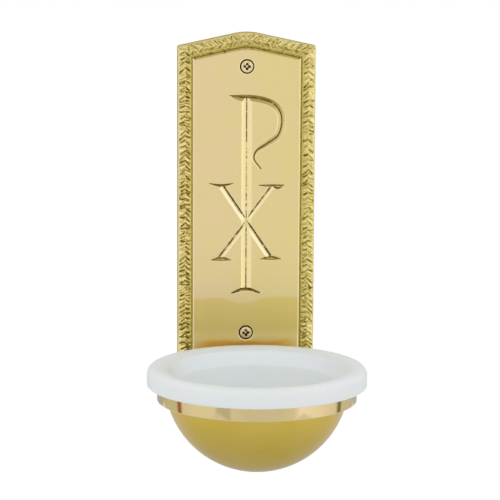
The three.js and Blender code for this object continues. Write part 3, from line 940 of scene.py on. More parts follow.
@dataclass(frozen=True)
class Border:
    """Chased border of the plate, a ridge with leaf-like strokes down both of its slopes."""

    width: float = 96.6 * MM
    shoulder: float = 108.4 * MM
    foot: float = -149 * MM
    rise: float = 10.4 * MM
    apex_round: float = 40 * MM
    apex_steps: int = 8
    corner: float = 1.6 * MM
    least_corner: float = 0.04 * MM
    corner_steps: int = 4
    crest: float = 5.2 * MM
    step: float = 0.36 * MM
    across: int = 28
    slope_profile: tuple[Range, ...] = (
        (0.95, 5.45), (1.3, 5.75), (2.4, 6.55), (4.4, 7.70), (5.2, 8.0), (5.9, 7.65), (7.9, 6.1), (9.2, 5.6),
        (9.6, 5.2),
    )
    base_depth: float = 4.3 * MM
    side_stroke: Stroke = Stroke(lean=0.8, wander=1.15)
    gable_stroke: Stroke = Stroke(lean=0.95, wander=1.7)
    deep: float = 0.95 * MM
    pitch: float = 3.4 * MM
    fine_pitch: float = 0.57
    fine_depth: float = 0.65
    draws: tuple[int, int] = (6, 170)
    lump: float = 0.20 * MM
    lump_cells: int = 4
    grain: float = 0.012 * MM
    seed: int = 11

    def slope(self) -> float:
        """Angle of the gable."""
        return math.atan2(self.rise, self.width / 2)

    def arc(self, inset: float) -> Range:
        """Centre height and radius of the rounded apex at an inset."""
        peak = self.shoulder + self.rise
        return peak - self.apex_round / math.cos(self.slope()), self.apex_round - inset

    def sides(self, inset: float) -> Triple:
        """Half width, foot and shoulder height of the outline at an inset."""
        shoulder = self.shoulder + inset * math.tan(self.slope()) - inset / math.cos(self.slope())
        return self.width / 2 - inset, self.foot + inset, shoulder

    def shares(self, length: float) -> Array:
        """Shares of a length in even fine steps, without its end."""
        steps = round(length / self.step)
        return np.arange(steps) / steps

    def gable(self, share: Array, inset: float) -> tuple[Array, Array]:
        """Finds points on the right half of the gable.

        Args:
            share: Shares of the way from the shoulder to the apex.
            inset: Distance from the plate's edge.

        Returns:
            Their x and z.
        """
        half, _, high = self.sides(inset)
        centre, radius = self.arc(inset)
        tilt = self.slope()
        touch_x, touch_z = radius * math.sin(tilt), centre + radius * math.cos(tilt)
        straight = math.dist((half, high), (touch_x, touch_z))
        gone = share * (straight + radius * tilt)
        flat = np.clip(gone / straight, 0, 1)
        angle = tilt - np.clip((gone - straight) / radius, 0, None)
        x = np.where(gone < straight, half + (touch_x - half) * flat, radius * np.sin(angle))
        z = np.where(gone < straight, high + (touch_z - high) * flat, centre + radius * np.cos(angle))
        return x, z

    def line(self, inset: float) -> Array:
        """Lays out a fine ring of points at an inset.

        Args:
            inset: Distance from the plate's edge.

        Returns:
            Rows of x and z, anticlockwise from the left foot as the room sees them.
        """
        half, low, high = self.sides(inset)
        base = self.shares(self.width)
        side = self.shares(self.shoulder - self.foot)
        top = self.shares(self.width / 2 / math.cos(self.slope()))
        left_x, left_z = self.gable(1 - top, inset)
        runs = (
            (-half + 2 * half * base, np.full_like(base, low)),
            (np.full_like(side, half), low + (high - low) * side),
            self.gable(top, inset),
            (-left_x, left_z),
            (np.full_like(side, -half), high + (low - high) * side),
        )
        return np.concatenate(runs, axis=1).T

    def outline(self, inset: float, depth: float) -> list[Vector]:
        """Lays out a coarse ring of the outline with rounded corners, for the body of the plate.

        Args:
            inset: Distance from the plate's edge.
            depth: Distance from the wall.

        Returns:
            The ring, anticlockwise from the right foot as the room sees it.
        """
        half, low, high = self.sides(inset)
        centre, radius = self.arc(inset)
        tilt = self.slope()
        soft = max(self.corner - inset, self.least_corner)
        points = []
        for z, start, end in ((low, -TURN / 4, 0.0), (high, 0.0, TURN / 4 - tilt)):
            reach = soft / math.cos((end - start) / 2)
            middle = (start + end) / 2
            cx, cz = half - reach * math.cos(middle), z - reach * math.sin(middle)
            for step in range(self.corner_steps + 1):
                angle = start + (end - start) * step / self.corner_steps
                points.append((cx + soft * math.cos(angle), cz + soft * math.sin(angle)))
        for step in range(self.apex_steps):
            angle = tilt * (1 - step / self.apex_steps)
            points.append((radius * math.sin(angle), centre + radius * math.cos(angle)))
        mirrored = [(-x, z) for x, z in reversed(points)]
        return [Vector((x, -depth, z)) for x, z in (*points, (0.0, centre + radius), *mirrored)]

    def locate(self, x: Array, z: Array) -> tuple[Array, Array, Array]:
        """Finds how places lie to the border.

        Args:
            x: Places across the plate.
            z: Their heights.

        Returns:
            The run of each place, the way along it towards the apex, and the inset from the edge.
        """
        tilt = self.slope()
        centre, radius = self.arc(0)
        side = self.width / 2 - np.abs(x)
        base = z - self.foot
        line = (self.shoulder + side * math.tan(tilt) - z) * math.cos(tilt)
        bend = radius - np.hypot(x, z - centre)
        top = np.where((np.abs(x) < radius * math.sin(tilt)) & (z > centre), bend, line)
        inset = np.minimum(np.minimum(side, base), top)
        nearest = [inset == side, inset == base]
        run = np.select(nearest, [Run.SIDE.value, Run.FOOT.value], Run.GABLE.value)
        way = np.select(nearest, [base, x + self.width / 2], side / math.cos(tilt))
        return run, way, inset

    def strokes(self, x: Array, z: Array) -> Array:
        """Chases strokes over both slopes of every run, with finer ones between them.

        Args:
            x: Places across the plate.
            z: Their heights.

        Returns:
            Depth of the strokes at each place, from 0 to about 1.
        """
        run, way, inset = self.locate(x, z)
        off = inset - self.crest
        depth = np.zeros_like(x)
        dice = np.random.default_rng(self.seed)
        rows = ((self.pitch, 1.0), (self.fine_pitch * self.pitch, self.fine_depth))
        for slope, kind, hand in product((-1, 1), Run, (False, True)):
            here = (run == kind.value) & ((x >= 0) == hand) & (off * slope > 0)
            stroke = self.gable_stroke if kind is Run.GABLE else self.side_stroke
            for pitch, share in rows:
                made = stroke.depths(way[here], np.abs(off[here]), pitch, dice.random(self.draws))
                depth[here] = np.maximum(depth[here], share * made)
        return depth

    def lumps(self, columns: int, rows: int) -> Array:
        """Makes the low lumps and the grain of the casting.

        Args:
            columns: Count of points along the ridge.
            rows: Count of points across it.

        Returns:
            Height of the lumps at each point.
        """
        cells = self.lump_cells
        dice = np.random.default_rng(self.seed + 1)
        coarse = dice.normal(0, self.lump, (columns // cells + 2, rows // cells + 2))
        (i, u), (j, v) = (np.divmod(np.arange(count) / cells, 1) for count in (columns, rows))
        i, j = i.astype(int)[:, None], j.astype(int)[None, :]
        u, v = u[:, None], v[None, :]
        low = coarse[i, j] * (1 - u) + coarse[i + 1, j] * u
        high = coarse[i, j + 1] * (1 - u) + coarse[i + 1, j + 1] * u
        return low * (1 - v) + high * v + dice.normal(0, self.grain, (columns, rows))

    def build(self) -> Piece:
        """Makes the ridge as a closed ring that sinks into the plate.

        Returns:
            The ridge.
        """
        insets, depths = np.array(self.slope_profile).T * MM
        top = np.linspace(insets[0], insets[-1], self.across)
        flat = np.stack([self.line(inset) for inset in (*top, insets[-1], insets[0])], axis=1)
        columns, rows, _ = flat.shape
        Bench.clear()
        bpy.ops.mesh.primitive_grid_add(x_subdivisions=columns, y_subdivisions=rows, size=1)
        piece = Bench.named("border_ridge")
        sheet = Bench.places(piece)
        column = np.rint((sheet[:, 0] + 0.5) * columns).astype(int) % columns
        row = np.rint((sheet[:, 1] + 0.5) * rows).astype(int) % rows
        height = np.interp(top, insets, depths)[None, :]
        height = height - self.deep * self.strokes(flat[:, :-2, 0], flat[:, :-2, 1])
        rough = self.lumps(*height.shape)
        rough[:, [0, -1]] = 0
        depth = np.concatenate([height + rough, np.full((columns, 2), self.base_depth)], axis=1)
        places = np.stack([flat[..., 0], -depth, flat[..., 1]], axis=2)
        Bench.move(piece, places[column, row])
        Bench.outward(piece, 1e-7)
        return piece


@dataclass(frozen=True)
class Cut:
    """One V cut along rows of x, z and width, in millimetres; left and right are as seen along its way."""

    line: tuple[Triple, ...]
    steps: int
    shift: float
    # How dark each flank is along the cut: painted shade, mostly on the flank that faces downwards.
    left: tuple[float, ...]
    right: tuple[float, ...]
    # Painted highlight on the left and the right flank.
    bright: Range = (0, 0)
    fade: tuple[float, ...] = (0.28, 0.46)
    slope: float = 0.5
    floor: float = 0.40
    valley: tuple[float, ...] = (1, 1)
    olive: tuple[float, ...] = (0, 0)
    floor_share: float = 0.35
    rim: float = 0.35
    rim_share: float = 0.6
    rim_slope: float = 0.4
    # Painted highlight on the chamfered rims.
    rim_bright: float = 0.9
    proud: float = 0.3
    waver: float = 0.015
    least_width: float = 0.12
    end_slack: float = 0.05
    floor_slack: float = 1.02

    def rows(self) -> Array:
        """Draws a smooth line through the rows, with a slight waver of the hand.

        Returns:
            Rows of x, z and width in even steps.
        """
        known = np.array(self.line, dtype=float)
        padded = np.vstack([2 * known[0] - known[1], known, 2 * known[-1] - known[-2]])
        rows = []
        for share in np.linspace(0, len(known) - 1, self.steps + 1):
            i = min(int(share), len(known) - 2)
            a, b, c, d = padded[i : i + 4]
            curve = (2 * b, c - a, 2 * a - 5 * b + 4 * c - d, 3 * b - a - 3 * c + d)
            rows.append(0.5 * sum(term * (share - i) ** power for power, term in enumerate(curve)))
        rows = np.array(rows)
        dice = np.random.default_rng(self.steps)
        rows[:, :2] += dice.normal(0, self.waver, (len(rows), 2))
        rows[:, 2] = np.maximum(rows[:, 2] * dice.normal(1, self.waver, len(rows)), self.least_width)
        return rows

    @staticmethod
    def across(rows: Array) -> Array:
        """Unit steps to the left of the way at each row."""
        ways = np.gradient(rows[:, :2], axis=0)
        return np.stack([-ways[:, 1], ways[:, 0]], axis=1) / np.linalg.norm(ways, axis=1)[:, None]

    def section(self, half: float | Array) -> tuple[float | Array, ...]:
        """Place and half width of the valley's floor, and its depth, for half the width of the cut."""
        return self.shift * half, np.minimum(self.floor, self.floor_share * half), half * self.slope

    def cutter(self, name: str, face: float) -> Piece:
        """Makes a solid for this cut, with a narrow chamfer along both rims.

        Args:
            name: Name of the solid.
            face: Depth of the panel's face, which the solid stands a little proud of.

        Returns:
            The solid.
        """
        rows = self.rows()
        rings = []
        for (x, z, width), (ax, az) in zip(rows, self.across(rows)):
            half = width / 2
            valley, floor, deep = self.section(half)
            rim = min(self.rim, self.rim_share * half)
            low = self.rim_slope * rim
            out = half + rim + self.proud * rim / low
            right = [(valley - floor, -deep - low), (-half, -low), (-out, self.proud)]
            ring = [(out, self.proud), (half, -low), (valley + floor, -deep - low), *right]
            rings.append([Vector((x + ax * o, -face / MM - h, z + az * o)) * MM for o, h in ring])
        return Bench.loft(name, rings)

    def meet(self, points: Array) -> tuple[Array, Array, Array, Array]:
        """Finds how points in the panel's plane lie in this cut.

        Args:
            points: Rows of x and z in millimetres.

        Returns:
            Depth of the cut there, how dull it is, with painted shade on its darker flank, how bright it is,
            a painted highlight on its rims and brighter flank, and how olive it is.
        """
        rows = self.rows()
        start, step = rows[:-1], np.diff(rows, axis=0)
        gap = points[:, None, :] - start[None, :, :2]
        share = np.clip((gap * step[None, :, :2]).sum(2) / (step[:, :2] ** 2).sum(1), 0, 1)
        near = np.linalg.norm(gap - share[..., None] * step[None, :, :2], axis=2).argmin(1)
        each = np.arange(len(points))
        share = share[each, near]
        half = (start[near, 2] + share * step[near, 2]) / 2
        way = step[near, :2] / np.linalg.norm(step[near, :2], axis=1)[:, None]
        off = gap[each, near] - share[:, None] * step[near, :2]
        aside = off[:, 1] * way[:, 0] - off[:, 0] * way[:, 1]
        last = (near == len(step) - 1) & (share == 1)
        beyond = np.abs((off * way).sum(1)) > self.end_slack
        beyond &= last | ((near == 0) & (share == 0))
        valley, floor, deep = self.section(half)
        left_wall, right_wall = half - valley - floor, half + valley - floor
        depth = np.minimum((half - aside) / left_wall, (half + aside) / right_wall)
        depth = np.where(beyond, -1, np.clip(depth, -1, 1) * deep)
        gone = (near + share) / len(step)
        marks = (self.left, self.right, self.valley, self.olive)
        left, right, bottom, olive = (np.interp(gone, self.fade, ends) for ends in marks)
        # Painted shade on the darker flank, painted highlights on the brighter flank and the rims.
        flank = np.where(aside > valley, left, right)
        dull = np.where(np.abs(aside - valley) < self.floor_slack * floor, bottom, flank)
        bright = np.where(aside > valley, *self.bright)
        rim = np.abs(aside) > half
        return depth, np.where(rim, 0, dull), np.where(rim, self.rim_bright, bright), np.where(rim, 0, olive)


@dataclass(frozen=True)
class Figure:
    """The incised Chi-Rho, cut by cut; a serif has x, z, reach, drop, width, end width and dullness."""

    stem: Cut = Cut(
        ((0, 72, 6.5), (0, 5, 6.4), (0, -62, 6.3)), 134, 0, (0, 0, 0), (0, 0, 0), (0.5, 0.2),
        fade=(0.12, 0.3, 0.9), valley=(0.86, 0.52, 0.82), olive=(0, 0, 0),
    )
    thick_arm: Cut = Cut(
        ((-17.3, 10.2, 3.7), (16.2, -39.6, 3.7)), 61, 0.56, (0.72, 0.72), (0, 0), (0.9, 0.9),
        slope=0.75, floor=0.28, valley=(0.85, 0.85),
    )
    thin_arm: Cut = Cut(
        ((-18.4, -40, 3.3), (-3.3, -20, 3.3), (3.1, -10, 3.0), (18.1, 10, 3.0)), 62, 0.25,
        (0.6, 0.6), (0, 0), (1, 1), slope=0.75, floor=0.28, valley=(0.85, 0.85),
    )
    loop: Cut = Cut((
        (-12.7, 74.1, 0), (-5.4, 72.3, 4.2), (5.2, 71.8, 4.6), (16.1, 69.0, 4.8), (22.4, 63.6, 5.2),
        (24.4, 55.6, 5.4), (21.9, 46.1, 4.8), (14.2, 40.2, 3.6), (7.0, 35.3, 2.4), (5.1, 29.5, 1.9),
        (9.9, 22.4, 1.5),
    ), 110, 0.1, (0.22, 0.10), (0.10, 0.15), (0.3, 0.3), floor=0.5, valley=(0.84, 1), olive=(0.72, 0.40))
    serifs: Rows = (
        (-17.8, 10.7, 8.5, -1.6, 2.1, 0.5, 0.9), (17.6, 10.5, 8.8, -0.2, 1.7, 0.9, 0.62),
        (21.9, 8.6, 3.4, -1.2, 1.8, 0.5, 0.85), (-17.8, -41.2, 7.1, 0.8, 3.3, 0.5, 0.54),
        (17.2, -40.9, 7.6, 0.7, 3.2, 0.5, 0.52), (-0.3, -62.7, 10, 3, 2.5, 1.3, 1.05),
    )
    serif_steps: int = 16
    serif_shift: float = 0.2
    serif_olive: float = 0.9
    serif_floor: float = 1.1

    def cuts(self) -> list[Cut]:
        """Lists every cut of the figure.

        Returns:
            The stem, the arms, the loop and the serifs.
        """
        cuts = [self.stem, self.thick_arm, self.thin_arm, self.loop]
        for x, z, reach, drop, width, end, dull in self.serifs:
            line = ((x - reach, z - drop, end), (x, z, width), (x + reach, z - drop, end))
            # The upper flank takes the full dullness as painted shade, the lower flank less.
            marks = (dull, dull**2 / 2, self.serif_floor * dull, self.serif_olive)
            left, right, valley, olive = ((mark, mark) for mark in marks)
            cut = Cut(line, self.serif_steps, self.serif_shift, left, right, valley=valley, olive=olive)
            cuts.append(cut)
        return cuts

    def shades(self, x: Array, z: Array) -> tuple[Array, ...]:
        """Finds how the cuts are marked at places in the panel, where the deepest cut wins.

        Args:
            x: Places across the plate.
            z: Their heights.

        Returns:
            How dull, how bright and how olive each place is; the dullness holds painted shade, the
            brightness painted highlights.
        """
        points = np.stack([x, z], axis=1) / MM
        depth, *marks = (np.stack(values) for values in zip(*(cut.meet(points) for cut in self.cuts())))
        best = depth.argmax(0), np.arange(len(points))
        return tuple(mark[best] for mark in marks)


@dataclass(frozen=True)
class Zone:
    """A strip of the plate between two insets from its edge, and past a depth, in millimetres."""

    near: float
    far: float
    past: float

    def holds(self, inset: Array, depth: Array) -> Array:
        """Whether places lie in the strip."""
        return (inset >= self.near * MM) & (inset < self.far * MM) & (depth > self.past * MM)


@dataclass
class BackPlate:
    """Cast plate: chased border, flat panel with the cut figure, and a hollow back with ribs and bosses."""

    border: Border = Border()
    figure: Figure = Figure()
    edge_profile: tuple[Range, ...] = (
        (0.45, 0.0), (0.08, 0.30), (0.05, 0.6), (0.35, 5.0), (0.48, 5.35), (0.75, 5.55), (1.0, 5.6),
        (1.1, 5.55), (1.3, 4.7), (10.0, 4.7), (10.35, 4.86), (10.6, 5.1), (10.85, 5.32), (11.2, 5.45),
        (11.8, 5.5), (12.7, 5.5),
    )
    recess: float = 2 * MM
    recess_wall: tuple[Range, ...] = ((0.1 * MM, 1.4 * MM), (0.6 * MM, 2 * MM))
    land: float = 8 * MM
    rib: float = 10 * MM
    boss: float = 9 * MM
    boss_taper: Range = (0.5 * MM, -0.3 * MM)
    boss_facets: int = 48
    pad_corner: float = 3 * MM
    bore: float = 2.6 * MM
    mouth: float = 5.15 * MM
    mouth_edge: Range = (0.55 * MM, 0.16 * MM)
    cone: float = 2.6 * MM
    pocket: float = 4.9 * MM
    pocket_depth: float = 3.6 * MM
    hole_facets: tuple[int, int] = (56, 40)
    past: float = 1 * MM
    cell: float = 5.3 * MM
    crease: float = 17
    chased: Zone = Zone(0.8, 9.6, 5)
    groove: Zone = Zone(9.2, 10.2, 4)
    panel_edge: Zone = Zone(10.2, 11.4, 5)
    gable_shadow: Zone = Zone(9.0, 12.5, 4)
    cut_panel: Zone = Zone(12.2, math.inf, 3)
    flat_panel: Zone = Zone(11.75, math.inf, 3)
    smooth_ridge: Zone = Zone(1.35, 9.3, 5.3)
    skin: float = 0.02 * MM
    floor_slack: float = 0.1 * MM
    gable_stroke_shade: float = 0.42
    side_stroke_shade: Range = (0.73, 1.12)
    height_stroke_shade: Rows = ((-110, -80, 80, 100), (1.25, 1, 1, 0.75))
    ridge_foot: Rows = ((7.2, 8.8), (0, 1))
    stroke_dull: Triple = (0.04, 1.1, 0.95)
    stroke_wear_and_highlight: Range = (0.46, 1.5)
    stroke_olive: Range = (1.5, 0.9)
    foot_olive: float = 0.42
    groove_dull: float = 0.26
    groove_olive: Range = (5.6 * MM, 0.5 * MM)
    edge_highlight_and_wear: float = 0.9
    shadow_dull: Rows = ((9.6, 10.6, 11.8), (0.30, 0.46, 0.30))
    shadow_olive: Rows = ((9.0, 10.0, 11.2, 12.4), (0.2, 0.80, 0.85, 0.5))

    def hollow(self) -> Piece:
        """Makes the space behind the plate, less its rib, pad and bosses.

        Returns:
            The space, as a solid.
        """
        walls = [(0.0, -self.past), *self.recess_wall]
        rings = [self.border.outline(self.land + inset, depth) for inset, depth in walls]
        space = Bench.loft("hollow", rings)
        half, deep = self.border.width / 2, 2 * self.past + self.recess
        rib = Bench.block("rib", Vector((-half, -deep, -self.rib / 2)), Vector((half, deep, self.rib / 2)))
        Bench.combine(space, rib, Join.CUT)
        wide, tall = LAYOUT.bracket_width / 2, LAYOUT.bracket_height / 2
        low = Vector((-wide, -deep, LAYOUT.bracket_mid - tall))
        high = Vector((wide, deep, LAYOUT.bracket_mid + tall))
        Bench.combine(space, Bench.block("pad", low, high, self.pad_corner), Join.CUT)
        back, front = (self.boss + change for change in self.boss_taper)
        for height in LAYOUT.wall_screws():
            boss = [(0, -deep), (back, -deep), (front, deep), (0, deep)]
            place = Matrix.Translation((0, 0, height)) @ FACING_ROOM
            Bench.combine(space, Bench.turned("boss", boss, self.boss_facets, place), Join.CUT)
        return space

    def holes(self) -> Iterator[Piece]:
        """Makes cutters for the countersunk wall holes and the pocketed bracket holes.

        Returns:
            The cutters, one by one.
        """
        face = LAYOUT.panel_face
        wide, low = self.mouth_edge
        wall_facets, bracket_facets = self.hole_facets
        sunk = [
            (0, -self.past), (self.bore, -self.past), (self.bore, face - self.cone),
            (self.mouth, face - low), (self.mouth + wide, face),
            (self.mouth + 2 * wide, face + self.past), (0, face + self.past),
        ]
        for height in LAYOUT.wall_screws():
            place = Matrix.Translation((0, 0, height)) @ FACING_ROOM
            yield Bench.turned("sunk", sunk, wall_facets, place)
        bore = LAYOUT.bracket_bore
        stepped = [
            (0, -self.past), (self.pocket, -self.past), (self.pocket, self.pocket_depth),
            (bore, self.pocket_depth), (bore, face + self.past), (0, face + self.past),
        ]
        for side in Side:
            place = LAYOUT.bracket_screw_place(side) @ FACING_ROOM
            yield Bench.turned("stepped", stepped, bracket_facets, place)

    def border_marks(self, x: Array, depth: Array, z: Array) -> tuple[Array, ...]:
        """Finds how the border, its groove and the edge of the panel are marked.

        Args:
            x: Places across the plate.
            depth: Their distances from the wall.
            z: Their heights.

        Returns:
            How dull, bright, olive and chased each place is; the dullness holds painted shade, the
            brightness wear and painted highlights.
        """
        run, _, inset = self.border.locate(x, z)
        gable = run == Run.GABLE.value
        dull, brightened, olive = (np.zeros_like(x) for _ in range(3))
        zones = (self.chased, self.groove, self.panel_edge, self.gable_shadow)
        chased, groove, edge, shadow = (zone.holds(inset, depth) for zone in zones)
        # Painted shade: the strokes are darker on the left and low down, lighter on the right, up high and
        # on the gable.
        light = np.where(x > 0, *self.side_stroke_shade) * np.interp(z / MM, *self.height_stroke_shade)
        light = np.where(gable, self.gable_stroke_shade, light)[chased]
        strokes = self.border.strokes(x[chased], z[chased])
        foot = np.interp(inset[chased] / MM, *self.ridge_foot)
        least, gain, most = self.stroke_dull
        dull[chased] = np.clip(least + gain * light * strokes, 0, most)
        # Wear and painted highlights between the strokes.
        most, loss = self.stroke_wear_and_highlight
        brightened[chased] = np.clip(most - loss * strokes, 0, 1) * (1 - foot)
        gain, most = self.stroke_olive
        olive[chased] = np.maximum(np.clip(gain * light * strokes, 0, most), self.foot_olive * foot)
        top, fall = self.groove_olive
        dull[groove], brightened[groove] = self.groove_dull, 0
        olive[groove] = np.clip((top - depth[groove]) / fall, 0, 1)
        # Painted highlight and wear along the panel's rounded edge.
        brightened[edge] = self.edge_highlight_and_wear
        shadow &= gable
        dull[shadow] = np.interp(inset[shadow] / MM, *self.shadow_dull)
        olive[shadow] = np.interp(inset[shadow] / MM, *self.shadow_olive)
        brightened[shadow] = 0
        return dull, brightened, olive, (chased | groove).astype(float)

    def face_marks(self, middles: Array) -> tuple[Array, list[Array]]:
        """Finds how the faces of the cuts and of the countersinks are marked.

        Args:
            middles: Middles of the plate's faces.

        Returns:
            Which faces these are, and how dull, bright and olive each face is, with painted shade and
            painted highlights among them.
        """
        x, depth, z = (middles * (1, -1, 1)).T
        _, _, inset = self.border.locate(x, z)
        below = depth < LAYOUT.panel_face - self.skin
        to_screw = np.minimum(*(np.hypot(x, z - height) for height in LAYOUT.wall_screws()))
        wide = self.mouth_edge[0]
        cut = self.cut_panel.holds(inset, depth) & below & (to_screw > self.mouth + 2 * wide)
        # Painted highlight and wear on the countersink's mouth; painted shade in its cone round the screw
        # head.
        ring = (to_screw < self.mouth + wide) & (to_screw > self.mouth) & below
        sunk = (to_screw < self.mouth) & below & (depth > self.recess + self.floor_slack)
        marks = []
        for mark, rim, cone in zip(self.figure.shades(x[cut], z[cut]), (0, self.edge_highlight_and_wear, 0), (1, 0, 0)):
            each = np.zeros(len(middles))
            each[cut], each[ring], each[sunk] = mark, rim, cone
            marks.append(each)
        return cut | ring | sunk, marks

    def shade(self, plate: Piece) -> None:
        """Paints how dull and olive the cuts, strokes and groove are, with painted shade among the
        tarnishing, and how bright the edges are, from wear and painted highlights.

        Args:
            plate: The plate.
        """
        corners, owners, middles = Bench.facets(plate)
        *border, chased = self.border_marks(*(Bench.places(plate) * (1, -1, 1)).T)
        faces, marks = self.face_marks(middles)
        for name, by_corner, by_face in zip(("dull", "brightened", "olive"), border, marks):
            Bench.paint(plate, name, np.where(faces[owners], by_face[owners], by_corner[corners]))
        Bench.paint(plate, "chased", chased[corners])

    def flatten_panel(self, plate: Piece) -> None:
        """Shades the panel and its cuts facet by facet, which are flat or finely cut.

        Args:
            plate: The plate.
        """
        _, _, middles = Bench.facets(plate)
        _, _, inset = self.border.locate(middles[:, 0], middles[:, 2])
        plate.data.polygons.foreach_set("use_smooth", ~self.flat_panel.holds(inset, -middles[:, 1]))

    def soften_chasing(self, plate: Piece) -> None:
        """Shades the chased ridge smooth all over.

        Args:
            plate: The plate.
        """
        at = Bench.places(plate)
        _, _, inset = self.border.locate(at[:, 0], at[:, 2])
        ridge = self.smooth_ridge.holds(inset, -at[:, 1])
        ends = Bench.read(plate.data.edges, "vertices", np.int32, 2)
        sharp = plate.data.attributes["sharp_edge"].data
        sharp.foreach_set("value", Bench.read(sharp, "value", bool) & ~ridge[ends].all(axis=1))

    def divide(self, plate: Piece) -> None:
        """Divides the plate's faces into small cells, which cut cleanly.

        Args:
            plate: The plate.
        """
        reaches = {(1, 0, 0): self.border.width / 2, (0, 0, 1): -self.border.foot}
        with Bench.editing(plate):
            for way, reach in reaches.items():
                for place in np.arange(-reach + self.cell, reach, self.cell):
                    bpy.ops.mesh.select_all(action="SELECT")
                    bpy.ops.mesh.bisect(plane_co=Vector(way) * float(place), plane_no=way)

    def build(self) -> None:
        """Makes, cuts and dresses the plate."""
        rings = [self.border.outline(inset * MM, depth * MM) for inset, depth in self.edge_profile]
        plate = Bench.loft("plate", rings)
        self.divide(plate)
        Bench.combine(plate, self.hollow(), Join.CUT)
        for index, cut in enumerate(self.figure.cuts()):
            Bench.combine(plate, cut.cutter(f"cut_{index}", LAYOUT.panel_face), Join.CUT)
        for hole in self.holes():
            Bench.combine(plate, hole, Join.CUT)
        Bench.combine(plate, self.border.build(), Join.ADD)
        self.shade(plate)
        Bench.smooth(plate, self.crease)
        self.soften_chasing(plate)
        self.flatten_panel(plate)
        hand_over(plate, CAST, "stoup", "back_plate")


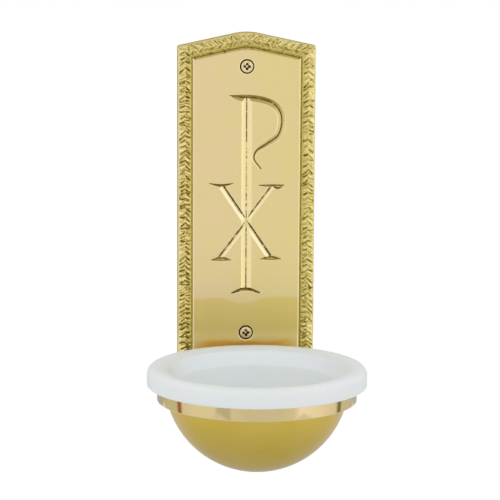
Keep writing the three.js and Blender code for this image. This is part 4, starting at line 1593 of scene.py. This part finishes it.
@dataclass(frozen=True)
class Screw:
    """A screw along the axis of its head, with a cross recess and a cut thread."""

    head: float
    head_height: float
    shank: float
    reach: float
    pitch: float
    thread: float
    recess: float
    recess_depth: float
    cone: float = 0.0
    tip: float = 0.0
    blunt: float = 0.4 * MM
    facets: int = 32
    thread_steps: int = 8
    face_steps: int = 6
    dome_steps: int = 9
    tip_steps: int = 16
    tip_start: float = 0.06
    least_core: float = 0.2
    crease: float = 38
    face_share: float = 0.84
    face_swell: float = 0.25
    edge_fall: Range = (0.3 * MM, 0.55)
    edge_back: Range = (0.05 * MM, 0.12 * MM)
    slot_stations: tuple[Triple, ...] = ((0.75, 0.62, 0.72), (1.0, 0.34, 0.5))
    slot_width: float = 0.15
    pocket_reach: Range = (0.46, 0.26)
    pocket_depth: float = 0.8
    proud: float = 0.3 * MM
    lit_share: float = 0.2
    lit_depth: float = 0.7
    recess_slack: Range = (0.12 * MM, 0.1 * MM)
    dullness: Triple = (0.1, 1.0, 0.5)

    def rim(self) -> float:
        """Radius of the bright face of the head."""
        return self.face_share * self.head / 2

    def profile(self) -> Line:
        """Lays out the screw's profile.

        Returns:
            Radius and way from the crown, which is at zero, to the point.
        """
        rise, half, shank = self.head_height, self.head / 2, self.shank / 2
        if self.cone:
            fall, low = self.edge_fall
            back, down = self.edge_back
            shares = np.linspace(0, 1, self.face_steps)
            head = [(self.rim() * s, self.face_swell * rise * s**2) for s in shares]
            head += [(self.rim() + fall, low * rise), (half, rise), (half - back, rise + down)]
        else:
            angles = np.linspace(0, TURN / 4, self.dome_steps)
            head = [(half * math.sin(a), rise * (1 - math.cos(a))) for a in angles]
        seat = rise + self.cone
        steps = int((self.reach - seat) / self.pitch * self.thread_steps)
        body = [(shank, way) for way in np.linspace(seat, self.reach, steps)]
        if self.tip:
            shares = np.linspace(self.tip_start, 1, self.tip_steps)
            point = [(shank * (1 - s), self.reach + self.tip * s) for s in shares]
        else:
            point = [(shank - self.blunt, self.reach + self.blunt), (0, self.reach + self.blunt)]
        return [*head, *body, *point]

    def build(self, name: str, place: Matrix) -> Piece:
        """Turns the screw, cuts its thread and recess, and puts it in its place.

        Args:
            name: Name of the piece.
            place: Takes the screw from its own axis, +Z towards the point, to the part.

        Returns:
            The screw.
        """
        screw = Bench.turned(name, self.profile(), self.facets)
        at = Bench.places(screw)
        radius = np.hypot(at[:, 0], at[:, 1])
        way = at[:, 2]
        start = self.head_height + self.cone + 2 * self.pitch
        phase = (way / self.pitch - np.arctan2(at[:, 1], at[:, 0]) / TURN) % 1.0
        ridge = 1 - np.abs(2 * phase - 1)
        fade = np.clip((way - start) / (2 * self.pitch), 0, 1)
        fade *= np.clip(radius / (0.25 * self.shank), 0, 1)
        least = 1e-6
        scale = np.where(radius > least, 1 - fade * self.thread * (1 - ridge) / np.maximum(radius, least), 1)
        at[:, :2] *= np.clip(scale, self.least_core, 1)[:, None]
        Bench.move(screw, at)
        for cutter in (self.slot(0), self.slot(TURN / 4), self.pocket()):
            Bench.combine(screw, cutter, Join.CUT)
        self.shade(screw)
        screw.data.transform(place)
        Bench.smooth(screw, self.crease)
        return screw

    def slot(self, turn: float) -> Piece:
        """Makes a tapered cutter for one bar of the cross recess.

        Args:
            turn: Angle of the bar.

        Returns:
            The cutter.
        """
        stations = [(-self.proud, 1.0, 1.0)]
        stations += [(self.recess_depth * way, long, wide) for way, long, wide in self.slot_stations]
        rings = []
        for way, long, wide in stations:
            half, thick = self.recess / 2 * long, self.slot_width * self.recess * wide
            ring = [(half, thick), (-half, thick), (-half, -thick), (half, -thick)]
            rings.append([Matrix.Rotation(turn, 3, "Z") @ Vector((x, y, way)) for x, y in ring])
        return Bench.loft("slot", rings)

    def pocket(self) -> Piece:
        """Makes a tapered square cutter that opens the middle of the cross recess.

        Returns:
            The cutter.
        """
        rings = []
        corners = ((1, 0), (0, 1), (-1, 0), (0, -1))
        for way, share in zip((-self.proud, self.recess_depth * self.pocket_depth), self.pocket_reach):
            reach = share * self.recess
            rings.append([Vector((x * reach, y * reach, way)) for x, y in corners])
        return Bench.loft("pocket", rings)

    def shade(self, screw: Piece) -> None:
        """Darkens the rim of the head and the recess with painted shade, less in the lit middle of the
        recess, and paints the thread dull.

        Args:
            screw: The screw, still on its own axis.
        """
        _, owners, middles = Bench.facets(screw)
        radius, way = np.hypot(middles[:, 0], middles[:, 1]), middles[:, 2]
        swell = self.face_swell * self.head_height if self.cone else self.head_height / 2
        face = np.interp(radius, (0, self.rim()), (0, swell))
        above, under = self.recess_slack
        recess = (radius < self.recess / 2) & (way > face + above) & (way < self.recess_depth + under)
        lit = recess & (radius < self.lit_share * self.recess) & (way > self.lit_depth * self.recess_depth)
        edge = (radius > self.rim() * 1.02) & (self.cone > 0)
        thread = way > self.head_height * 1.2
        dull = np.select([lit, recess | edge, thread], self.dullness, 0.0)
        Bench.paint(screw, "dull", dull[owners])


@dataclass
class Fasteners:
    """All screws and washers; turns are angles of the cross recesses and of the slit in a lock washer."""

    wall: Screw = Screw(
        head=9.8 * MM, head_height=0.8 * MM, shank=4.6 * MM, reach=33.3 * MM, pitch=2.1 * MM,
        thread=0.55 * MM, recess=5.4 * MM, recess_depth=2.2 * MM, cone=2.9 * MM, tip=5 * MM,
    )
    bracket: Screw = Screw(
        head=8.4 * MM, head_height=2 * MM, shank=4.8 * MM, reach=15.4 * MM, pitch=0.8 * MM, thread=0.25 * MM,
        recess=5 * MM, recess_depth=1.2 * MM,
    )
    bowl: Screw = Screw(
        head=7.6 * MM, head_height=2.2 * MM, shank=4 * MM, reach=15 * MM, pitch=0.7 * MM, thread=0.22 * MM,
        recess=4.6 * MM, recess_depth=1.3 * MM,
    )
    wall_turns: Range = (0.04, -0.06)
    bracket_turn: float = 0.4
    bowl_turn: float = 0.3
    lock_washer: float = 4.6 * MM
    slit_low: Triple = (2 * MM, -0.35 * MM, -2 * MM)
    slit_high: Triple = (6 * MM, 0.35 * MM, 2 * MM)
    slit_turns: Range = (0.9, 0.5)
    bowl_washer: float = 4.7 * MM
    bowl_washer_thick: float = 0.8 * MM
    washer_edge: float = 0.12 * MM
    washer_facets: int = 48
    bowl_solid_facets: tuple[int, int] = (44, 36)

    def washer(self, name: str, outside: float, bore: float, thick: float, place: Matrix) -> Piece:
        """Turns a washer with broken edges, its face at zero.

        Args:
            name: Name of the piece.
            outside: Outer radius.
            bore: Inner radius.
            thick: Thickness.
            place: Where the axis stands.

        Returns:
            The washer.
        """
        edge = self.washer_edge
        profile = [
            (bore, edge), (bore + edge, 0), (outside - edge, 0), (outside, edge),
            (outside, thick - edge), (outside - edge, thick), (bore + edge, thick), (bore, thick - edge),
        ]
        piece = Bench.turned(name, profile, self.washer_facets, place)
        Bench.smooth(piece)
        return piece

    def build(self) -> None:
        """Makes and dresses every screw and washer."""
        crown = -LAYOUT.panel_face - self.wall.head_height
        for where, height, turn in zip(("upper", "lower"), LAYOUT.wall_screws(), self.wall_turns):
            place = Matrix.Translation((0, crown, height)) @ INTO_WALL @ Matrix.Rotation(turn, 4, "Z")
            name = f"wall_screw_{where}"
            hand_over(self.wall.build(f"{name}_fine", place), SCREW, "stoup", name)
        for side in Side:
            self.bracket_set(side)
            self.bowl_set(side)

    def bracket_set(self, side: Side) -> None:
        """Makes a bracket screw and its lock washer, which enter from the back of the plate.

        Args:
            side: Their side of the plate.
        """
        where = side.name.lower()
        _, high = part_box(f"bracket_screw_{where}")
        at = LAYOUT.bracket_screw_place(side)
        spun = Matrix.Rotation(self.bracket_turn * side.value, 4, "Z")
        name = f"bracket_screw_{where}"
        place = at @ Matrix.Translation((0, high[1], 0)) @ FACING_ROOM @ spun
        hand_over(self.bracket.build(f"{name}_fine", place), ZINC, "stoup", name)
        name = f"bracket_lock_washer_{where}"
        low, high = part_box(name)
        place = at @ Matrix.Translation((0, high[1], 0)) @ FACING_ROOM
        washer = self.washer(f"{name}_fine", self.lock_washer, LAYOUT.bracket_bore, high[1] - low[1], place)
        slit = Bench.block("slit", Vector(self.slit_low), Vector(self.slit_high))
        middle = Matrix.Translation((0, (low[1] + high[1]) / 2, 0))
        turn, skew = (Matrix.Rotation(angle, 4, axis) for angle, axis in zip(self.slit_turns, "YX"))
        slit.data.transform(at @ middle @ turn @ skew @ FACING_ROOM)
        Bench.combine(washer, slit, Join.CUT)
        hand_over(washer, ZINC, "stoup", name)

    def bowl_set(self, side: Side) -> None:
        """Makes a bowl screw and its washer, which enter from inside the bowl.

        Args:
            side: Their side of the bowl.
        """
        where = side.name.lower()
        along = LAYOUT.bowl_screw_axis(side)
        inner = LAYOUT.bowl_radius - LAYOUT.bowl_wall
        around, upright = self.bowl_solid_facets
        facet = math.cos(math.pi / around) * math.cos(math.pi / upright)
        seat = math.sqrt((inner * facet) ** 2 - self.bowl_washer**2) - LAYOUT.seat_gap
        thick = self.bowl_washer_thick
        name = f"bowl_washer_{where}"
        place = along @ Matrix.Translation((0, 0, seat - thick))
        washer = self.washer(f"{name}_fine", self.bowl_washer, LAYOUT.bowl_bore, thick, place)
        hand_over(washer, SCREW, "stoup", name)
        crown = seat - thick - LAYOUT.seat_gap - self.bowl.head_height
        name = f"bowl_screw_{where}"
        place = along @ Matrix.Translation((0, 0, crown)) @ Matrix.Rotation(self.bowl_turn, 4, "Z")
        hand_over(self.bowl.build(f"{name}_fine", place), SCREW, "stoup", name)


@dataclass
class Bracket:
    """Cast bracket between the plate and the bowl."""

    pad: float = 4 * MM
    corner: float = 5 * MM
    edge: float = 0.7 * MM
    body: float = 30 * MM
    body_round: float = 2 * MM
    reach: float = 44.3 * MM
    sweep: float = 5 * MM
    back: float = 5.8 * MM
    bore_end: float = 17.1 * MM
    bowl_bore_end: float = 71.6 * MM
    stations: int = 11
    round_steps: int = 4
    ball_steps: int = 40
    saddle_facets: int = 144
    sharp: float = 50

    def arm(self) -> Piece:
        """Makes the swept arm, a bar whose underside rises in the middle.

        Returns:
            The arm.
        """
        low = LAYOUT.bracket_mid - LAYOUT.bracket_height / 2 + self.corner / 2
        high = LAYOUT.bracket_mid + LAYOUT.bracket_height / 2 - self.corner / 2
        root = self.back + self.pad / 2
        half, soft = self.body / 2, self.body_round
        rings = []
        for share in np.linspace(0, 1, self.stations):
            y = -(root + (self.reach - root) * share)
            foot = low + 2 * share * (1 - share) * self.sweep
            corners = [(half, high), (half, foot), (-half, foot), (-half, high)]
            bar = [(0, high, 0), *((*corner, soft) for corner in corners), (0, high, 0)]
            line = rounded(bar, self.round_steps)
            rings.append([Vector((x, y, z)) for x, z in line[:-1]])
        return Bench.loft("arm", rings)

    def saddle(self) -> Piece:
        """Makes the space that the bowl and the band fill, grown by the seat gap.

        Returns:
            The space, as a solid.
        """
        gap = LAYOUT.seat_gap
        under = LAYOUT.band_foot - gap
        wide = LAYOUT.band_radius + gap
        ball = LAYOUT.ball_arc(LAYOUT.bowl_radius + gap, under, self.ball_steps)
        profile = [*ball, (wide, under), (wide, LAYOUT.lip_top), (0, LAYOUT.lip_top)]
        return Bench.turned("saddle", profile, self.saddle_facets, LAYOUT.bowl_place())

    def build(self) -> None:
        """Makes and dresses the bracket."""
        middle = LAYOUT.bracket_mid
        wide, tall = LAYOUT.bracket_width / 2, LAYOUT.bracket_height / 2
        low = Vector((-wide, -self.back - self.pad, middle - tall))
        high = Vector((wide, -self.back, middle + tall))
        casting = Bench.block("bracket", low, high, self.corner)
        sharp = math.radians(self.sharp)
        Bench.modify(casting, "BEVEL", width=self.edge, segments=2, limit_method="ANGLE", angle_limit=sharp)
        Bench.combine(casting, self.arm(), Join.ADD)
        Bench.combine(casting, self.saddle(), Join.CUT)
        for side in Side:
            place = LAYOUT.bracket_screw_place(side) @ FACING_ROOM
            Bench.drill(casting, LAYOUT.bracket_bore, 0, self.bore_end, place)
            along = LAYOUT.bowl_screw_axis(side)
            Bench.drill(casting, LAYOUT.bowl_bore, LAYOUT.bowl_bore_start, self.bowl_bore_end, along)
        Bench.smooth(casting)
        hand_over(casting, BRACKET_CAST, "stoup", "bowl_bracket")


@dataclass
class Bowl:
    """Spun hemisphere and the polished band that it hangs in."""

    flange: float = 3.4 * MM
    flange_thick: float = 1.3 * MM
    flange_round: float = 0.25 * MM
    bore_end: float = 68 * MM
    ledge: float = 2.5 * MM
    ledge_round: float = 0.3 * MM
    edge: float = 0.7 * MM
    inner_edge: float = 0.25 * MM
    round_steps: int = 5
    outside_steps: int = 56
    inside_steps: int = 48
    facets: int = 160
    crease: float = 30

    def build(self) -> None:
        """Makes and dresses the shell and the band."""
        self.shell()
        self.band()

    def shell(self) -> None:
        """Turns the hemisphere with its flange and opens its screw holes."""
        foot, top = LAYOUT.flange_z, LAYOUT.flange_z + self.flange_thick
        rim = LAYOUT.ball_radius(LAYOUT.bowl_radius, LAYOUT.flange_z) + self.flange
        outside = LAYOUT.ball_arc(LAYOUT.bowl_radius, LAYOUT.flange_z, self.outside_steps)
        inside = LAYOUT.ball_arc(LAYOUT.bowl_radius - LAYOUT.bowl_wall, top, self.inside_steps)
        soft = self.flange_round
        lip = [(rim - soft, foot), (rim, foot + soft), (rim, top - soft), (rim - soft, top)]
        shell = Bench.turned("bowl", [*outside, *lip, *reversed(inside)], self.facets, LAYOUT.bowl_place())
        for side in Side:
            along = LAYOUT.bowl_screw_axis(side)
            Bench.drill(shell, LAYOUT.bowl_bore, LAYOUT.bowl_bore_start, self.bore_end, along)
        Bench.smooth(shell, self.crease)
        hand_over(shell, SPUN, "stoup", "bowl_shell")

    def band(self) -> None:
        """Turns the band with rounded edges and an inner ledge."""
        bore = LAYOUT.ball_radius(LAYOUT.bowl_radius, LAYOUT.flange_z) + LAYOUT.seat_gap
        outer, inner = LAYOUT.band_radius, LAYOUT.band_inner
        foot, top = LAYOUT.band_foot, LAYOUT.band_top
        line = rounded([
            (bore, foot + self.ledge / 2, 0), (bore, foot, self.inner_edge), (outer, foot, self.edge),
            (outer, top, self.edge), (inner, top, self.inner_edge),
            (inner, foot + self.ledge, self.ledge_round), (bore, foot + self.ledge, self.inner_edge),
            (bore, foot + self.ledge / 2, 0),
        ], self.round_steps)
        band = Bench.turned("band", line[:-1], self.facets, LAYOUT.bowl_place())
        Bench.smooth(band, self.crease)
        hand_over(band, POLISHED, "stoup", "rim_band")


@dataclass
class Liner:
    """White liner: a flat-floored bowl, a sloping collar and a broad lip rolled over the band."""

    wall: float = 2.4 * MM
    edge: float = 59.6 * MM
    crest: float = 64.6 * MM
    lip: float = 73.8 * MM
    lip_height: float = 12.6 * MM
    lip_round: float = 5.6 * MM
    dip: float = 2.2 * MM
    collar: float = 5.3 * MM
    collar_drop: float = 9.3 * MM
    collar_slack: float = 0.3 * MM
    depth: float = 44 * MM
    taper: float = 9 * MM
    floor_round: float = 16 * MM
    edge_round: float = 1.8 * MM
    step_round: float = 1.2 * MM
    round_steps: int = 10
    bead_steps: int = 9
    facets: int = 176
    crease: float = 40
    painted_light_back: Range = (0.0, 0.55)
    painted_light_right: Range = (0.1, 0.6)
    shaded_front: Range = (-0.1, 0.45)
    shaded_left: Range = (-0.5, 0.1)

    def inside(self) -> Line:
        """Lays out the line that the room sees.

        Returns:
            Radius and height of its points, from the middle of the floor to the foot of the lip.
        """
        top = LAYOUT.lip_top
        step = self.edge - self.collar
        rim = top - self.dip
        return rounded([
            (0, top - self.depth, 0), (step - self.taper, top - self.depth, self.floor_round),
            (step, rim - self.collar_drop, self.step_round), (self.edge, rim, self.step_round),
            (self.crest, top, self.edge_round), (self.lip, top, self.lip_round),
            (self.lip, top - self.lip_height + self.wall / 2, 0),
        ], self.round_steps)

    def profile(self) -> Line:
        """Gives the line its wall and closes it with a bead.

        Returns:
            Radius and height of the points, all round the wall.
        """
        line = np.array(self.inside())
        ways = np.gradient(line, axis=0)
        out = np.stack([ways[:, 1], -ways[:, 0]], axis=1) / np.linalg.norm(ways, axis=1)[:, None]
        out[0] = (0, -1)
        skin = line + out * self.wall
        skin[:, 0] = np.maximum(skin[:, 0], 0)
        end = (line[-1] + skin[-1]) / 2
        onward = np.array([-out[-1][1], out[-1][0]])
        angles = np.linspace(0, math.pi, self.bead_steps)[1:-1]
        bead = [end + self.wall / 2 * (math.cos(a) * out[-1] + math.sin(a) * onward) for a in angles]
        return [tuple(point) for point in (*skin, *bead, *line[::-1])]

    def shade(self, liner: Piece) -> None:
        """Paints light on the collar towards the back and the right, and shade on its near, left part.

        Args:
            liner: The liner.
        """
        corners, _, _ = Bench.facets(liner)
        x, y, z = Bench.places(liner).T
        collar = np.hypot(x, y - LAYOUT.bowl_y) < self.edge + self.collar_slack
        collar &= z > LAYOUT.lip_top - self.dip - self.collar_drop
        back, right = (y - LAYOUT.bowl_y) / self.edge, x / self.edge
        rising, falling = (0, 1), (1, 0)
        painted_light = np.maximum(np.interp(back, self.painted_light_back, rising), np.interp(right, self.painted_light_right, rising))
        shaded = np.interp(back, self.shaded_front, falling) * np.interp(right, self.shaded_left, falling)
        Bench.paint(liner, "painted_light", (collar * painted_light)[corners])
        Bench.paint(liner, "shaded", (collar * shaded)[corners])

    def build(self) -> None:
        """Turns, paints and dresses the liner."""
        liner = Bench.turned("liner_moulding", self.profile(), self.facets, LAYOUT.bowl_place())
        Bench.smooth(liner, self.crease)
        self.shade(liner)
        hand_over(liner, MILK, "liner", "liner")


# Studio


def grey(level: float) -> Colour:
    """A neutral colour."""
    return level, level, level, 1


@dataclass
class Studio:
    """Pale floor, soft light all round and the camera; a box has a bearing, a level and maybe a tint."""

    floor_drop: float = 0.42
    floor_size: float = 1.6
    floor_dim: float = 0.3
    floor_tones: Range = (0.80, 0.82)
    floor_clouds: Range = (3, 2)
    painted_shadow_tones: Range = (0.48, 0.75)
    painted_shadow_reach: Range = (0.05, 0.6)
    azimuth: float = -5.4
    elevation: float = 9.255
    roll: float = 0.3
    focal: float = 2181.8
    frame_pixels: float = 500
    sensor: float = 36.0
    far_clip: float = 200
    distance: float = 1.5394
    aim: Triple = (3.2 * MM, 0, -35.86 * MM)
    soft_level: float = 0.95
    box_level: float = 1.55
    ceiling_level: float = 0.95
    ceiling_start: Range = (0.30, 0.60)
    crown_start: Range = (0.84, 0.95)
    crown_shade: float = 0.6
    facet: Colour = (0.495, 0.516, 0.490, 1)
    facet_left: Range = (124, 130)
    facet_right: Range = (143.5, 145.5)
    facet_top: Range = (-0.20, -0.18)
    boxes: Rows = (
        (-180, 0.50), (-150, 0.60), (-128, 0.82, 1, 1.04, 0.9), (-110.4, 0.86, 1, 1, 0.9),
        (-108.8, 0.50, 1, 0.42, 0.22), (-103.2, 0.50, 1, 0.42, 0.22), (-101.6, 1.02), (-83, 1.12),
        (-57, 1.14), (-37.5, 1.04), (-14, 0.95), (22, 0.97), (38, 1.05), (46, 1.38, 1, 1, 1.1), (72, 1.26),
        (99, 1.04), (101.5, 0.30, 1, 1, 0.6), (107, 0.30, 1, 1, 0.6), (109, 0.92, 1, 1, 0.95),
        (130, 0.80), (150, 0.60), (180, 0.50),
    )

    def build(self) -> None:
        """Sets up camera, floor and light."""
        self.camera()
        self.floor()
        self.light()
        bpy.context.scene.view_settings.view_transform = "Standard"

    def camera(self) -> None:
        """Places the camera at the viewing angle."""
        az, el = math.radians(self.azimuth), math.radians(self.elevation)
        back = Vector((math.sin(az) * math.cos(el), -math.cos(az) * math.cos(el), math.sin(el)))
        lens = bpy.data.cameras.new("camera")
        lens.sensor_width = self.sensor
        lens.lens = self.focal * self.sensor / self.frame_pixels
        lens.clip_end = self.far_clip
        eye = bpy.data.objects.new("camera", lens)
        bpy.context.scene.collection.objects.link(eye)
        turn = back.to_track_quat("Z", "Y").to_matrix().to_4x4()
        level = Matrix.Rotation(math.radians(self.roll), 4, "Z")
        eye.matrix_world = Matrix.Translation(Vector(self.aim) + back * self.distance) @ turn @ level
        bpy.context.scene.camera = eye

    def floor(self) -> None:
        """Lays a pale floor that looks white and keeps the object's shadow, with a painted shadow that
        darkens its glow near the middle, under the object.
        """
        Bench.clear()
        bpy.ops.mesh.primitive_plane_add(size=self.floor_size, location=(0, 0, -self.floor_drop))
        floor = Bench.named("studio_floor")
        paint = bpy.data.materials.new("pale_floor")
        paint.use_nodes = True
        recipe = Recipe(paint.node_tree)
        camera, glossy, through = self.rays(recipe)
        seen = camera.most(glossy).most(through)
        colour = recipe.mix(recipe.grain(*self.floor_clouds), *map(grey, self.floor_tones))
        matt = recipe.node("ShaderNodeBsdfDiffuse", None, {"Color": colour})
        dim = recipe.node("ShaderNodeBsdfDiffuse", None, {"Color": grey(self.floor_dim)})
        away = recipe.node("ShaderNodeVectorMath", {"operation": "LENGTH"}, {0: recipe.place()}, "Value")
        # Painted shadow: the floor's glow is darker near its middle, under the object.
        painted_shadow = recipe.mix(away.between(*self.painted_shadow_reach), *map(grey, self.painted_shadow_tones))
        glow = recipe.node("ShaderNodeEmission", None, {"Color": painted_shadow, "Strength": 1.0})
        white = recipe.node("ShaderNodeAddShader", None, {0: dim, 1: glow})
        both = recipe.node("ShaderNodeMixShader", None, {0: seen, 1: matt, 2: white})
        recipe.node("ShaderNodeOutputMaterial", None, {"Surface": both})
        floor.data.materials.append(paint)

    @staticmethod
    def rays(recipe: Recipe) -> list[Wire]:
        """1 where the camera looks, where a reflection looks, and where glass looks."""
        names = ("Is Camera Ray", "Is Glossy Ray", "Is Transmission Ray")
        return [recipe.node("ShaderNodeLightPath", output=name) for name in names]

    def stops(self) -> list[tuple[float, Colour]]:
        """Lays the soft boxes and the dark gaps between them round the horizon.

        Returns:
            Place on the ramp and colour of each box.
        """
        stops = []
        for bearing, level, *tint in self.boxes:
            tone = tuple(level / self.box_level * share for share in tint or WHITE[:3])
            stops.append(((bearing + 180) / 360, tone + (1,)))
        return stops

    def mirrored(self, recipe: Recipe) -> Wire:
        """Paints the surround that metal mirrors.

        Args:
            recipe: Builds the nodes.

        Returns:
            Its colour.
        """
        way = recipe.node("ShaderNodeTexCoord", output="Generated")
        across, deep, up = (recipe.node("ShaderNodeSeparateXYZ", None, {0: way}, axis) for axis in "XYZ")
        bearing = recipe.math("ARCTAN2", across, 0 - deep) / TURN + 0.5
        boxes = recipe.node("ShaderNodeValToRGB", {"stops": self.stops()}, {0: bearing})
        degrees = bearing * 360
        facet = degrees.between(*self.facet_left) - degrees.between(*self.facet_right)
        boxes = recipe.mix(facet * (1 - up.between(*self.facet_top)), boxes, self.facet)
        ceiling = grey(self.ceiling_level / self.box_level)
        seen = recipe.mix(up.between(*self.ceiling_start), boxes, ceiling)
        return recipe.mix(self.crown_shade * up.between(*self.crown_start), seen, BLACK)

    def light(self) -> None:
        """Hangs a white surround; metal sees soft boxes and the dark gaps between them in it."""
        world = bpy.data.worlds.new("surround")
        world.use_nodes = True
        recipe = Recipe(world.node_tree)
        levels = ((WHITE, self.soft_level), (self.mirrored(recipe), self.box_level), (WHITE, 1.0))
        soft, metal, white = (
            recipe.node("ShaderNodeBackground", None, {"Color": colour, "Strength": level})
            for colour, level in levels
        )
        camera, glossy, through = self.rays(recipe)
        both = recipe.node("ShaderNodeMixShader", None, {0: glossy, 1: soft, 2: metal})
        full = recipe.node("ShaderNodeMixShader", None, {0: camera.most(through), 1: both, 2: white})
        recipe.node("ShaderNodeOutputWorld", None, {"Surface": full})
        world.cycles.sampling_method = "NONE"
        bpy.context.scene.world = world


def main() -> None:
    """Builds the stoup piece by piece, then the studio round it."""
    logging.basicConfig(level=logging.INFO, format="%(name)s: %(message)s")
    for assembly in (BackPlate(), Fasteners(), Bracket(), Bowl(), Liner(), Studio()):
        assembly.build()
    Bench.clear()


if __name__ == "__main__":
    main()
